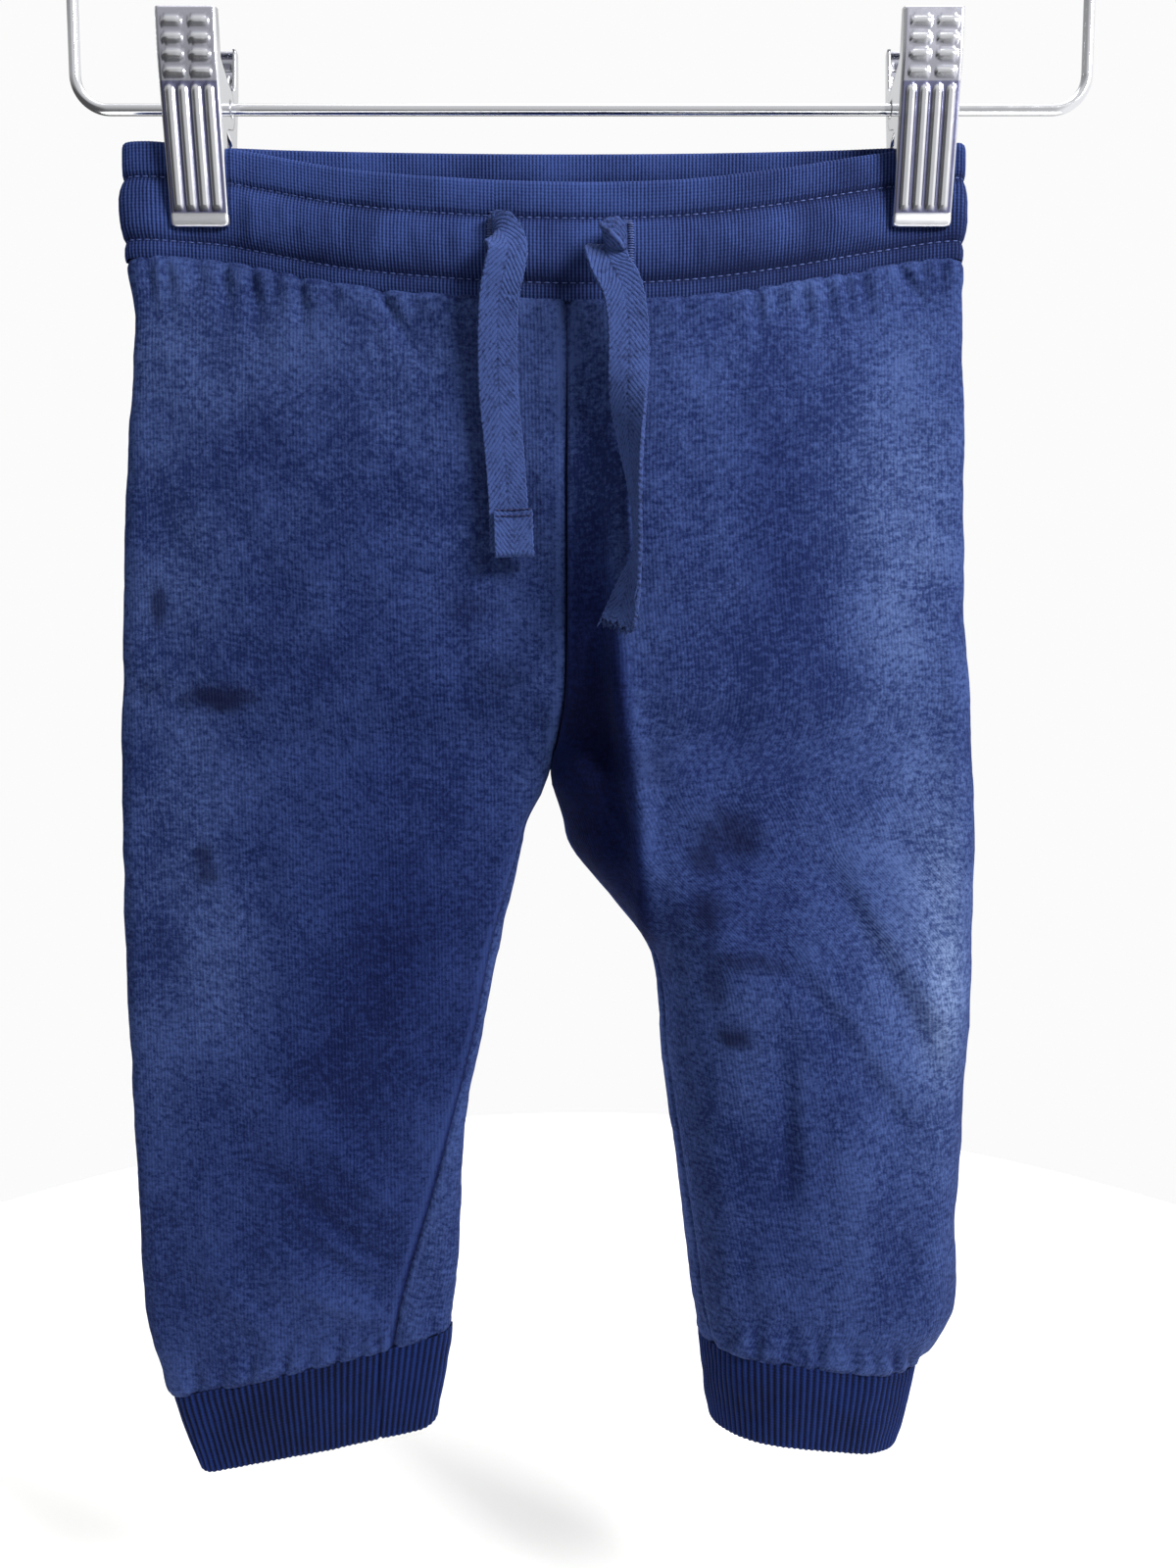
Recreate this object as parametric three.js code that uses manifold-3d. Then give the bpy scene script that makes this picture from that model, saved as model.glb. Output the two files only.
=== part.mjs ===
// Jogger sweatpants for a baby, hung by the waist from a wire hanger with two clips.
// Millimetres, +Z up, the front faces -Y. The origin is the inside top of the hanger's hook.
// Left and right are the wearer's own, so the left leg is at +X.

import * as THREE from 'three';
import { mergeVertices } from 'three/addons/utils/BufferGeometryUtils.js';
import Module from 'manifold-3d';

// Driving dimensions of the cloth
const SEAM_GAP = 0.3;
const RIB_SEAM_GAP = 0.5;
const CLOTH_WALL = 1.8;
const BAND_WALL = 2.6;
const BAND_TALL = 30.5;
const BAND_COLUMNS = 96;
const SWELL_FADE = 7;
const CUFF_WALL = 2.2;
const CUFF_RIBS = 94;
const RIB_HEIGHT = 0.4;
const CUFF_SHARES = [0, 0.5, 1];
const PANEL_COLUMNS = 24;
const COLUMN_CROWDING = 0.6;
const ROWS_PER_LEVEL = 2;
const FINE_ROWS_ABOVE_CROTCH = 2;
const FINE_ROWS_BELOW_CROTCH = 8;
const SIDE_SEAM_BEHIND_FOLD = 2.5;
const INNER_SEAM_STEP = 1.7;
const GATHER_HEIGHT = 0.6;
const GATHER_UNEVENNESS = 0.4;
const GATHER_TURN = 2.4;
const WAIST_GATHER_LENGTH = 13;
const CUFF_GATHER_LENGTH = 7.5;
const BELLY_POWER = 1.8;
const CENTRE_X = -3.5;

// Driving dimensions of the drawstring
const TAPE_WIDTH = 10.2;
const TAPE_THICK = 1.2;
const TAPE_CORNER = 0.9;
const TAPE_STEPS_PER_ROW = 2;
const SLIT_WIDTH = 2.1;
const SLIT_TALL = 11.6;
const SLIT_DEPTH = 8;

// Driving dimensions of the hanger
const BAR_Z = -150;
const WIRE_RADIUS = 1.5;
const WIRE_SIDES = 10;
const UPRIGHT_X = 136.6;
const LOWER_BEND = 9;
const UPPER_BEND = 13;
const BEND_STEPS = 6;
const SHOULDER_DROP = 36;
const HOOK_RADIUS = 1.75;
const HOOK_MOUTH_RADIUS = 17;
const HOOK_TIP_ANGLE = 205;
const HOOK_FOOT_ANGLE = -50;
const HOOK_STEPS = 20;
const HOOK_SWING_STEPS = 5;
const HOOK_STEM = 4;
const FERRULE_RADIUS = 4.2;
const FERRULE_TALL = 13;
const FERRULE_BEVEL = 1;
const FERRULE_SIDES = 20;

// Driving dimensions of the clips
const CLIP_X = { right: -102.5, left: 91.7 };
const PLATE = 0.9;
const FRONT_JAW_HALF_WIDTH = 7.9;
const BACK_JAW_HALF_WIDTH = 6.7;
const JAW_RIDGES = 4;
const JAW_RIDGE_HEIGHT = 0.6;
const JAW_BORDER = 1;
const JAW_RIM = 0.5;
const SPRING_OUTER_RADIUS = 3.0;
const SPRING_LENGTH = 10.6;
const RUNNING_GAP = 0.3;
const BORE_SIDES = 16;

function table(columns, rows) {
  return rows.map((row) => Object.fromEntries(columns.map((name, k) => [name, row[k]])));
}

// The waistband's top edge in plan, from the right end to the left end. It is pinched at the two clips,
// and in front it sags forward and down between them.
const WAIST_FRONT = table(['x', 'y', 'top'], [
  [-124.5, 0, -159.6],
  [-122.6, -3.5, -159.6],
  [-116, -4.5, -159.6],
  [-108, -3.2, -159.7],
  [-97, -3.2, -160.6],
  [-86, -5.2, -163.2],
  [-63, -9.2, -168.6],
  [-36, -12.6, -172.2],
  [-3.5, -14.8, -174.3],
  [27, -13.8, -173.2],
  [54, -9.6, -168.6],
  [73, -5.6, -164.2],
  [82.5, -3.4, -162],
  [97, -3.2, -159.8],
  [102.6, -3.2, -159.6],
  [104.4, 0, -159.6],
]);

const WAIST_BACK = table(['x', 'y', 'top'], [
  [-124.5, 0, -159.6],
  [-122.6, 3.5, -159.5],
  [-116, 4.4, -159.3],
  [-108, 3.2, -159.2],
  [-97, 3.2, -159.2],
  [-80, 4.6, -159.2],
  [-40, 6.4, -159.2],
  [-3.5, 7, -159.2],
  [35, 6.4, -159.2],
  [70, 4.6, -159.2],
  [86, 3.2, -159.2],
  [97, 3.2, -159.2],
  [102.6, 3.2, -159.4],
  [104.4, 0, -159.6],
]);

// How far the waistband stands out below its top edge: three rows of rib, parted by two lines of
// stitching, with the elastic in the middle one.
const BAND_ROWS = table(['below', 'swell'], [
  [0, -0.5],
  [1.6, 0],
  [9.3, -0.3],
  [12.8, 0.9],
  [17.5, 1.2],
  [22, 0.9],
  [25.7, -0.3],
  [29, 0.1],
  [BAND_TALL, -0.3],
]);

// The seams between the left and right halves, from the waistband down to the crotch.
// The first row is the waistband's own edge.
const CENTRE_FRONT = table(['x', 'y', 'z'], [
  [CENTRE_X, -14.8, -205.1],
  [-3.7, -14.1, -220],
  [-4, -13, -240],
  [-4.1, -12.2, -262],
  [-4.1, -11.4, -285],
  [-4.8, -9.6, -309],
  [-9, 2, -330],
]);

const CENTRE_BACK = table(['x', 'y', 'z'], [
  [CENTRE_X, 7, -190],
  [-4.2, 8, -207],
  [-5, 9, -229],
  [-6, 10, -256],
  [-6.6, 11, -284],
  [-7.6, 10.5, -309],
  [-9, 2, -330],
]);

// Levels of each half from the waistband to the cuff. xSide and zSide are on the outer fold, xIn, yIn
// and zIn on the leg's inner fold. The folds have the radii foldSide and foldIn. The front stands out
// by front at the share frontAt of the way from the side, the back by back. The inseam lies seam
// millimetres in front of the inner fold, and tilt lifts the front edge by its share of the depth.
const LEVEL_COLUMNS = [
  'zSide', 'xSide', 'ySide', 'zIn', 'xIn', 'yIn', 'foldSide', 'foldIn',
  'front', 'frontAt', 'back', 'backAt', 'seam', 'tilt',
];

const RIGHT_LEVELS = table(LEVEL_COLUMNS, [
  [-190.2, -123.3, 0, -206, CENTRE_X, 0, 4, 4, 2, 0.5, 1, 0.5, 0, 0],
  [-207, -122.5, 0, -221, CENTRE_X, 0, 4, 4, 2.6, 0.5, 2, 0.5, 0, 0],
  [-229, -124, 0, -240, CENTRE_X, 0, 4, 4, 3.4, 0.5, 3, 0.5, 0, 0],
  [-256, -126.4, 0, -262, CENTRE_X, 0, 4, 4, 3.8, 0.5, 3.5, 0.5, 0, 0],
  [-284, -128, 0, -285, CENTRE_X, 0, 4, 4, 4, 0.52, 3.5, 0.5, 0, 0],
  [-309, -129.1, 0, -309, CENTRE_X, 0, 4.2, 5, 4.5, 0.55, 3, 0.55, 0, 0],
  [-331, -129.9, 0, -334, -12.5, 1.5, 4.2, 6, 5, 0.55, 3, 0.6, 0.5, 0],
  [-352, -130.2, 0, -352, -17.5, 1, 4.2, 5, 5, 0.52, 3, 0.6, 2, 0],
  [-378, -130.5, 0, -378, -23.6, 0, 4.2, 4.2, 5, 0.5, 3, 0.55, 3.8, 0],
  [-405, -130.3, 0, -405, -29, 0, 4.2, 4.2, 4.5, 0.5, 3, 0.5, 3.8, 0],
  [-432, -129.7, 0, -432, -34.2, 0, 4.2, 4.2, 4, 0.5, 3, 0.5, 6, 0],
  [-462, -129, 0, -457, -35.2, 0, 4.2, 4.2, 4, 0.5, 3, 0.5, 12.2, 0],
  [-490, -128.2, 0, -477, -35.9, 0, 4.5, 4.5, 3.6, 0.5, 3, 0.5, 18.4, 0],
  [-513.2, -121.4, 0, -492.6, -37.8, 0, 4.8, 4.8, 2.4, 0.5, 2.2, 0.5, 20.5, 0],
]);

const LEFT_LEVELS = table(LEVEL_COLUMNS, [
  [-190.2, 103.4, 0, -206, CENTRE_X, 0, 4, 4, 3, 0.7, 1, 0.5, 0, 0],
  [-207, 104.5, 0, -221, CENTRE_X, 0, 4, 4, 7, 0.84, 2, 0.5, 0, 0],
  [-229, 105.4, 0, -240, CENTRE_X, 0, 4.4, 4, 9, 0.86, 3.5, 0.5, 0, 0],
  [-256, 106, 0, -262, CENTRE_X, 0, 5, 4, 10.5, 0.85, 4.5, 0.5, 0, 0],
  [-284, 106.9, 0, -285, CENTRE_X, 0, 6, 4.5, 11, 0.83, 5, 0.5, 0, 0],
  [-309, 108.7, 0, -309, CENTRE_X, 0, 7, 5.5, 12, 0.81, 5, 0.55, 0, 0],
  [-331, 109.9, -1, -333, -5.5, 2, 8, 6.5, 15, 0.78, 5, 0.6, 0.5, 0],
  [-352, 110.4, -2, -352, -2.4, 2, 9, 7, 15, 0.78, 6, 0.6, 2, 0],
  [-378, 110.5, -3, -378, 19, -4, 10, 9, 13, 0.74, 8, 0.55, 4, 0],
  [-405, 109.9, -4, -405, 22.8, -5, 11, 11, 10.5, 0.66, 9, 0.5, 5, 0],
  [-432, 108.8, -4, -432, 26.3, -5, 12, 12, 9, 0.6, 8.5, 0.5, 6, 0],
  [-460, 107.6, -4, -459, 29.6, -5, 13, 13, 7.5, 0.55, 7.5, 0.5, 8, 0.03],
  [-485, 107.6, -4, -480, 31.9, -4, 14, 14, 6.5, 0.5, 6.5, 0.5, 9, 0.1],
  [-500.6, 97.6, -3, -493, 34.5, -3, 16, 16, 5, 0.5, 4.5, 0.5, 11, 0.2],
]);

const CROTCH_ROW = (CENTRE_FRONT.length - 1) * ROWS_PER_LEVEL;
const LAST_ROW = (RIGHT_LEVELS.length - 1) * ROWS_PER_LEVEL;

// The cuffs' lower edges, in the columns of the levels above.
const CUFF_HEMS = {
  right: table(LEVEL_COLUMNS, [[-536.6, -113.6, 0, -521.8, -43.4, 0, 4.8, 4.8, 1.2, 0.5, 1, 0.5, 0, 0]])[0],
  left: table(LEVEL_COLUMNS, [[-524.5, 92.4, -3, -518.6, 37.6, -3, 15, 15, 3.5, 0.5, 3, 0.5, 0, 0.2]])[0],
};

// The largest soft folds in the cloth, each from one point to another as seen from the front, with its
// half width, and its height above the cloth or, with a minus sign, its depth.
const FOLD_COLUMNS = ['x1', 'z1', 'x2', 'z2', 'half', 'height'];

const FRONT_FOLDS = table(FOLD_COLUMNS, [
  [66, -352, 101, -418, 8, -1],
  [55, -378, 91, -436, 8, -0.9],
  [76, -352, 103, -400, 7, 0.9],
  [60, -392, 82, -448, 7, 0.8],
  [55, -402, 55, -462, 8, -0.9],
  [104, -300, 105, -356, 6, 0.8],
  [-98, -446, -60, -478, 9, -1],
  [-82, -470, -58, -486, 8, 0.9],
  [-46, -404, -38, -412, 6, -0.6],
]);

const BACK_FOLDS = table(FOLD_COLUMNS, [
  [20, -330, 88, -350, 10, -1],
  [-24, -330, -92, -352, 10, -1],
  [40, -420, 84, -452, 9, 0.9],
  [-100, -420, -56, -450, 9, -0.9],
]);

// The drawstring's two free ends from the slits down, with the direction of the tape's width.
const TAPE_COLUMNS = ['x', 'y', 'z', 'wx', 'wy', 'wz'];

const RIGHT_TAPE = table(TAPE_COLUMNS, [
  [-22.2, -14.7, -188.3, 0, 0, 1],
  [-22.2, -17, -188.2, 0, 0, 1],
  [-20.6, -19.3, -188.8, 0.45, 0.2, 0.85],
  [-18.8, -20.4, -192.7, 0.85, 0.3, 0.4],
  [-19.6, -20.4, -198.2, 1, 0.1, 0.1],
  [-21, -19.6, -205, 1, 0, 0],
  [-21.6, -18.4, -217, 1, 0, 0],
  [-21.4, -17.4, -230, 1, 0, 0],
  [-20.2, -16.8, -243, 1, 0, 0],
  [-19.3, -16.4, -256, 1, 0, 0],
  [-18.9, -16.2, -269.8, 1, 0, 0],
]);

const LEFT_TAPE = table(TAPE_COLUMNS, [
  [11.5, -15.2, -191, 0, 0, 1],
  [11.5, -17.8, -190.9, 0, 0, 1],
  [9, -20.4, -191, 0.3, 0.1, 0.95],
  [6.4, -22.2, -194, 0.6, 0.2, 0.75],
  [7.6, -23.2, -198.4, 0.75, 0.1, 0.65],
  [10.6, -23.8, -204, 0.9, 0, 0.42],
  [12.1, -24, -212.5, 1, 0, 0.1],
  [12.3, -24.2, -222, 1, 0, 0],
  [12.2, -24.8, -232, 0.95, -0.3, 0],
  [13, -26, -243, 0.85, -0.5, 0],
  [14.2, -27.4, -254, 0.5, -0.85, 0],
  [14.9, -28.4, -264, 0.2, -0.97, 0],
  [14.6, -28.2, -272, 0.45, -0.88, 0],
  [12.4, -27, -280, 0.9, -0.4, 0],
  [9.3, -26, -290, 1, -0.1, 0],
]);

// One pressed jaw seen from its side, top to bottom: the outer face's distance from the bar, the depth
// of its side flanges, which form the ears on the bar, and the share of the ridges' height.
const JAW_ROWS = table(['z', 'out', 'flange', 'ridge'], [
  [-129.6, 11.2, 1.4, 0],
  [-130.6, 12.7, 3, 0],
  [-141, 12, 3.6, 0],
  [-145.8, 11.2, 13.2, 0],
  [-148, 10.8, 13.4, 1],
  [-154, 9.8, 12.4, 1],
  [-158, 9.1, 4.6, 1],
  [-169, 7.2, 3, 1],
  [-177.5, 5.7, 1.4, 1],
  [-179, 5.4, 1, 0],
  [-182.2, 4.7, 0.95, 0],
]);

// Small tools for tables, curves and solids

function spline(rows, name, t) {
  const last = rows.length - 1;
  const k = Math.min(Math.floor(t), last - 1);
  const f = t - k;
  const b = rows[k][name];
  const c = rows[k + 1][name];
  const a = k > 0 ? rows[k - 1][name] : 2 * b - c;
  const d = k + 1 < last ? rows[k + 2][name] : 2 * c - b;
  const cubic = 3 * b - a - 3 * c + d;
  const square = 2 * a - 5 * b + 4 * c - d;
  return 0.5 * (2 * b + (c - a) * f + square * f * f + cubic * f * f * f);
}

function pointOn(rows, t) {
  return new THREE.Vector3(spline(rows, 'x', t), spline(rows, 'y', t), spline(rows, 'z', t));
}

// Whole numbers from 0, up to but without the count.
function numbers(count) {
  return [...Array(count).keys()];
}

function mix(a, b, t) {
  return a + (b - a) * t;
}

function pathLengths(points) {
  const lengths = [0];
  for (let k = 1; k < points.length; k += 1) {
    lengths.push(lengths[k - 1] + points[k].distanceTo(points[k - 1]));
  }
  return lengths;
}

function pointAtLength(points, lengths, wanted) {
  let k = 1;
  while (k < points.length - 1 && lengths[k] < wanted) {
    k += 1;
  }
  const span = lengths[k] - lengths[k - 1];
  const f = span > 0 ? (wanted - lengths[k - 1]) / span : 0;
  return points[k - 1].clone().lerp(points[k], f);
}

function resample(points, shares) {
  const lengths = pathLengths(points);
  const total = lengths[lengths.length - 1];
  return shares.map((share) => pointAtLength(points, lengths, share * total));
}

// The path without its first stretch of the given length, and that stretch by itself.
function cutStart(points, length) {
  const lengths = pathLengths(points);
  const cut = pointAtLength(points, lengths, length);
  const kept = points.filter((point, k) => lengths[k] > length);
  const taken = points.filter((point, k) => lengths[k] < length);
  return { kept: [cut, ...kept], taken: [...taken, cut.clone()] };
}

function geometryOf(vertices, triangles) {
  const geometry = new THREE.BufferGeometry();
  const flat = vertices.flatMap((point) => [point.x, point.y, point.z]);
  geometry.setAttribute('position', new THREE.Float32BufferAttribute(flat, 3));
  const turned = signedVolume(vertices, triangles) < 0;
  geometry.setIndex(triangles.flatMap(([a, b, c]) => (turned ? [a, c, b] : [a, b, c])));
  geometry.computeVertexNormals();
  return geometry;
}

function signedVolume(vertices, triangles) {
  const cross = new THREE.Vector3();
  return triangles.reduce((sum, [a, b, c]) => {
    cross.crossVectors(vertices[b], vertices[c]);
    return sum + vertices[a].dot(cross);
  }, 0);
}

// A closed wall between an outer grid of points and the same grid moved in. The inner side keeps only
// the listed rows and columns. A ring's columns close on themselves.
function wallGeometry(outer, inner, keptRows, keptColumns, ring) {
  const rows = outer.length;
  const columns = outer[0].length;
  const vertices = outer.flat();
  const innerIndex = new Map();
  keptRows.forEach((i) => keptColumns.forEach((j) => {
    innerIndex.set(i * columns + j, vertices.length);
    vertices.push(inner[i][j]);
  }));
  const triangles = [];
  const quad = (a, b, c, d) => triangles.push([a, b, c], [a, c, d]);
  for (let i = 0; i < rows - 1; i += 1) {
    for (let j = 0; j < (ring ? columns : columns - 1); j += 1) {
      const next = (j + 1) % columns;
      quad(i * columns + j, (i + 1) * columns + j, (i + 1) * columns + next, i * columns + next);
    }
  }
  for (let m = 0; m < keptRows.length - 1; m += 1) {
    for (let n = 0; n < (ring ? keptColumns.length : keptColumns.length - 1); n += 1) {
      const j = keptColumns[n];
      const next = keptColumns[(n + 1) % keptColumns.length];
      const corner = (row, column) => innerIndex.get(keptRows[row] * columns + column);
      quad(corner(m, j), corner(m, next), corner(m + 1, next), corner(m + 1, j));
    }
  }
  const down = numbers(rows);
  const top = numbers(columns);
  const bottom = top.map((j) => (rows - 1) * columns + j);
  if (ring) {
    closeRim(top.concat(top[0]), innerIndex, triangles);
    closeRim([bottom[0], ...bottom.reverse()], innerIndex, triangles);
  } else {
    const farSide = down.map((i) => i * columns + columns - 1);
    const nearSide = down.map((i) => i * columns);
    const loop = [
      ...top.slice(0, -1), ...farSide.slice(0, -1), ...bottom.reverse().slice(0, -1), ...nearSide.reverse(),
    ];
    closeRim(loop, innerIndex, triangles);
  }
  return geometryOf(vertices, triangles);
}

// Joins the outer side's edge to the kept points of the inner side's edge.
function closeRim(loop, innerIndex, triangles) {
  let held = innerIndex.get(loop[0]);
  for (let k = 0; k < loop.length - 1; k += 1) {
    triangles.push([loop[k], loop[k + 1], held]);
    const next = innerIndex.get(loop[k + 1]);
    if (next !== undefined) {
      triangles.push([loop[k + 1], next, held]);
      held = next;
    }
  }
}

// A closed body through rings that all have the same number of points, with flat ends.
function loftGeometry(rings, capTriangles) {
  const count = rings[0].length;
  const last = (rings.length - 1) * count;
  const triangles = [];
  for (let i = 0; i < rings.length - 1; i += 1) {
    for (let j = 0; j < count; j += 1) {
      const next = (j + 1) % count;
      const a = i * count;
      triangles.push([a + j, a + next, a + count + next], [a + j, a + count + next, a + count + j]);
    }
  }
  capTriangles.forEach(([a, b, c]) => {
    triangles.push([c, b, a], [last + a, last + b, last + c]);
  });
  return geometryOf(rings.flat(), triangles);
}

function fan(count) {
  return numbers(count - 2).map((k) => [0, k + 1, k + 2]);
}

// Triangles that fill a level outline of any shape, wound the same way as its points.
function capTriangles(ring) {
  const outline = ring.map((point) => new THREE.Vector2(point.x, point.y));
  const triangles = THREE.ShapeUtils.triangulateShape(outline, []);
  const [a, b, c] = triangles[0].map((k) => outline[k]);
  const sameTurn = THREE.ShapeUtils.isClockWise([a, b, c]) === THREE.ShapeUtils.isClockWise(outline);
  return sameTurn ? triangles : triangles.map((triangle) => [...triangle].reverse());
}

function tangentAt(points, k) {
  const before = points[Math.max(k - 1, 0)];
  const after = points[Math.min(k + 1, points.length - 1)];
  return after.clone().sub(before).normalize();
}

// A round wire along a path in the plane of the hanger.
function wireGeometry(path, radius) {
  const across = new THREE.Vector3(0, 1, 0);
  const rings = path.map((point, k) => {
    const normal = tangentAt(path, k).cross(across).normalize();
    return numbers(WIRE_SIDES).map((n) => {
      const angle = (n / WIRE_SIDES) * 2 * Math.PI;
      return point.clone()
        .addScaledVector(normal, radius * Math.cos(angle))
        .addScaledVector(across, radius * Math.sin(angle));
    });
  });
  return loftGeometry(rings, fan(WIRE_SIDES));
}

// Points of an arc in the plane of the hanger, in degrees from +X towards +Z.
function arcPoints(x, z, radius, from, to, steps) {
  return numbers(steps + 1).map((k) => {
    const angle = THREE.MathUtils.degToRad(mix(from, to, k / steps));
    return new THREE.Vector3(x + radius * Math.cos(angle), 0, z + radius * Math.sin(angle));
  });
}

const wasm = await Module();
wasm.setup();

function toSolid(geometry) {
  const bare = geometry.clone();
  bare.deleteAttribute('normal');
  bare.deleteAttribute('uv');
  const merged = mergeVertices(bare, 1e-4);
  return new wasm.Manifold(new wasm.Mesh({
    numProp: 3,
    vertProperties: Float32Array.from(merged.attributes.position.array),
    triVerts: Uint32Array.from(merged.index.array),
  }));
}

function fromSolid(solid) {
  const mesh = solid.getMesh();
  const geometry = new THREE.BufferGeometry();
  geometry.setAttribute('position', new THREE.BufferAttribute(mesh.vertProperties, 3));
  geometry.setIndex(new THREE.BufferAttribute(mesh.triVerts, 1));
  geometry.computeVertexNormals();
  return geometry;
}

// The materials and the finished group

const CLOTH = new THREE.MeshStandardMaterial({ color: 0x2b3a68, roughness: 0.95, metalness: 0 });
const RIB = new THREE.MeshStandardMaterial({ color: 0x3a4a7a, roughness: 0.95, metalness: 0 });
const TAPE = new THREE.MeshStandardMaterial({ color: 0x324174, roughness: 0.9, metalness: 0 });
const CHROME = new THREE.MeshStandardMaterial({ color: 0xd0d2d4, roughness: 0.15, metalness: 1 });

const trousers = new THREE.Group();

function addPiece(name, geometry, material, parent = trousers) {
  const mesh = new THREE.Mesh(geometry, material);
  mesh.name = name;
  parent.add(mesh);
}

// Waistband: one tube of folded rib, with a slit for each end of the drawstring

const WAIST_LINE_STEPS = 160;
const BAND_INNER_ROWS = [0, 4, BAND_ROWS.length - 1];

function waistLine(rows, below) {
  const points = rows.map((row) => new THREE.Vector3(row.x, row.y, row.top - below));
  return new THREE.CatmullRomCurve3(points, false, 'centripetal').getPoints(WAIST_LINE_STEPS);
}

function waistLoop(below) {
  const front = waistLine(WAIST_FRONT, below);
  const back = waistLine(WAIST_BACK, below).reverse();
  return [...front, ...back.slice(1)];
}

// The clips press the elastic flat, so the waistband's swell fades out under them.
function pressedByClip(x) {
  const distance = Math.min(...Object.values(CLIP_X).map((clip) => Math.abs(x - clip)));
  return THREE.MathUtils.smoothstep(distance, FRONT_JAW_HALF_WIDTH, FRONT_JAW_HALF_WIDTH + SWELL_FADE);
}

function waistbandGeometry() {
  const shares = numbers(BAND_COLUMNS).map((k) => k / BAND_COLUMNS);
  const outer = [];
  const inner = [];
  BAND_ROWS.forEach(({ below, swell }) => {
    const line = resample(waistLoop(below), shares);
    const outward = line.map((point, k) => {
      const along = line[(k + 1) % line.length].clone().sub(line[(k + line.length - 1) % line.length]);
      return new THREE.Vector3(along.y, -along.x, 0).normalize();
    });
    outer.push(line.map((point, k) => {
      const raised = swell * (swell > 0 ? pressedByClip(point.x) : 1);
      return point.clone().addScaledVector(outward[k], raised);
    }));
    inner.push(line.map((point, k) => point.clone().addScaledVector(outward[k], -BAND_WALL)));
  });
  const keptColumns = numbers(BAND_COLUMNS / 2).map((k) => 2 * k);
  return wallGeometry(outer, inner, BAND_INNER_ROWS, keptColumns, true);
}

function slitBox(tape) {
  const start = tape[0];
  const inset = TAPE_THICK / 2 + RUNNING_GAP;
  const box = new THREE.BoxGeometry(SLIT_WIDTH, SLIT_DEPTH, SLIT_TALL);
  box.translate(start.x, start.y + inset - SLIT_DEPTH / 2, start.z);
  return box;
}

function buildWaistband() {
  const band = toSolid(waistbandGeometry());
  const cut = band.subtract(toSolid(slitBox(RIGHT_TAPE))).subtract(toSolid(slitBox(LEFT_TAPE)));
  addPiece('waistband', fromSolid(cut), RIB);
}

// Panels: front and back of each half, from the waistband to the cuff

const FRONT = { sign: -1, centre: CENTRE_FRONT, belly: 'front', bellyAt: 'frontAt', waist: WAIST_FRONT };
const BACK = { sign: 1, centre: CENTRE_BACK, belly: 'back', bellyAt: 'backAt', waist: WAIST_BACK };
const CURVE_STEPS = 72;
const WAIST_ROWS = 5;

function quarterRound(distance, radius) {
  const left = 1 - Math.min(distance / radius, 1);
  return Math.sqrt(1 - left * left);
}

// A soft hump from 0 at both ends to 1 at the share peak.
function hump(s, peak) {
  const away = s < peak ? 1 - s / peak : (s - peak) / (1 - peak);
  return 1 - away ** BELLY_POWER;
}

// The level's line across one face, from the side fold to the end point. On a leg the end is a fold
// too, and above the crotch it is the open edge at the centre seam.
function faceLine(level, face, end, endIsFold) {
  const points = [];
  const width = Math.abs(end.x - level.xSide);
  const axisEnd = endIsFold ? end.y : end.y - face.sign * level.foldIn;
  for (let k = 0; k <= CURVE_STEPS; k += 1) {
    const s = Math.sin((Math.PI * k) / (2 * CURVE_STEPS)) ** 2;
    const radius = mix(level.foldSide, level.foldIn, s);
    const nearEnd = endIsFold ? quarterRound((1 - s) * width, level.foldIn) : 1;
    const out = radius * quarterRound(s * width, level.foldSide) * nearEnd
      + level[face.belly] * hump(s, level[face.bellyAt]);
    const y = mix(level.ySide, axisEnd, s) + face.sign * out;
    const z = mix(level.zSide, end.z, s) - level.tilt * (y - mix(level.ySide, end.y, s));
    points.push(new THREE.Vector3(mix(level.xSide, end.x, s), y, z));
  }
  return points;
}

function levelAt(levels, t) {
  return Object.fromEntries(LEVEL_COLUMNS.map((name) => [name, spline(levels, name, t)]));
}

// The waistband's lower edge over one half of one face, from the side to the centre seam.
function waistEdge(half, face) {
  const line = waistLine(face.waist, BAND_TALL + RIB_SEAM_GAP);
  const onHalf = line.filter((point) => (point.x - CENTRE_X) * half.sign > 0);
  const fromSide = half.sign > 0 ? onHalf.reverse() : onHalf;
  const nearest = fromSide[fromSide.length - 1].clone();
  nearest.x = CENTRE_X;
  const ends = fromSide[0].x - CENTRE_X;
  const wanted = half.levels[0].xSide - CENTRE_X;
  return [...fromSide, nearest].map((point) => {
    const moved = point.clone();
    moved.x = CENTRE_X + (point.x - CENTRE_X) * (wanted / ends);
    return moved;
  });
}

// One row of one face as a fine line of points. Near the waist it takes on the waistband's edge.
function rowLine(half, face, row) {
  const t = row / ROWS_PER_LEVEL;
  const level = levelAt(half.levels, t);
  const onLeg = row > CROTCH_ROW;
  const legEnd = new THREE.Vector3(level.xIn, level.yIn, level.zIn);
  const end = onLeg ? legEnd : pointOn(face.centre, t);
  const line = faceLine(level, face, end, row >= CROTCH_ROW);
  if (row >= WAIST_ROWS) {
    return line;
  }
  const shares = numbers(CURVE_STEPS + 1).map((k) => k / CURVE_STEPS);
  const evenLine = resample(line, shares);
  const edge = resample(waistEdge(half, face), shares);
  const sideMove = evenLine[0].clone().sub(edge[0]);
  const seamMove = evenLine[CURVE_STEPS].clone().sub(edge[CURVE_STEPS]);
  const hold = row === 0 ? 1 : (1 - row / WAIST_ROWS) ** 2;
  return evenLine.map((point, k) => {
    const kept = row === 0 ? edge[k] : edge[k].clone().add(sideMove.clone().lerp(seamMove, shares[k]));
    return point.lerp(kept, hold);
  });
}

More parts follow.
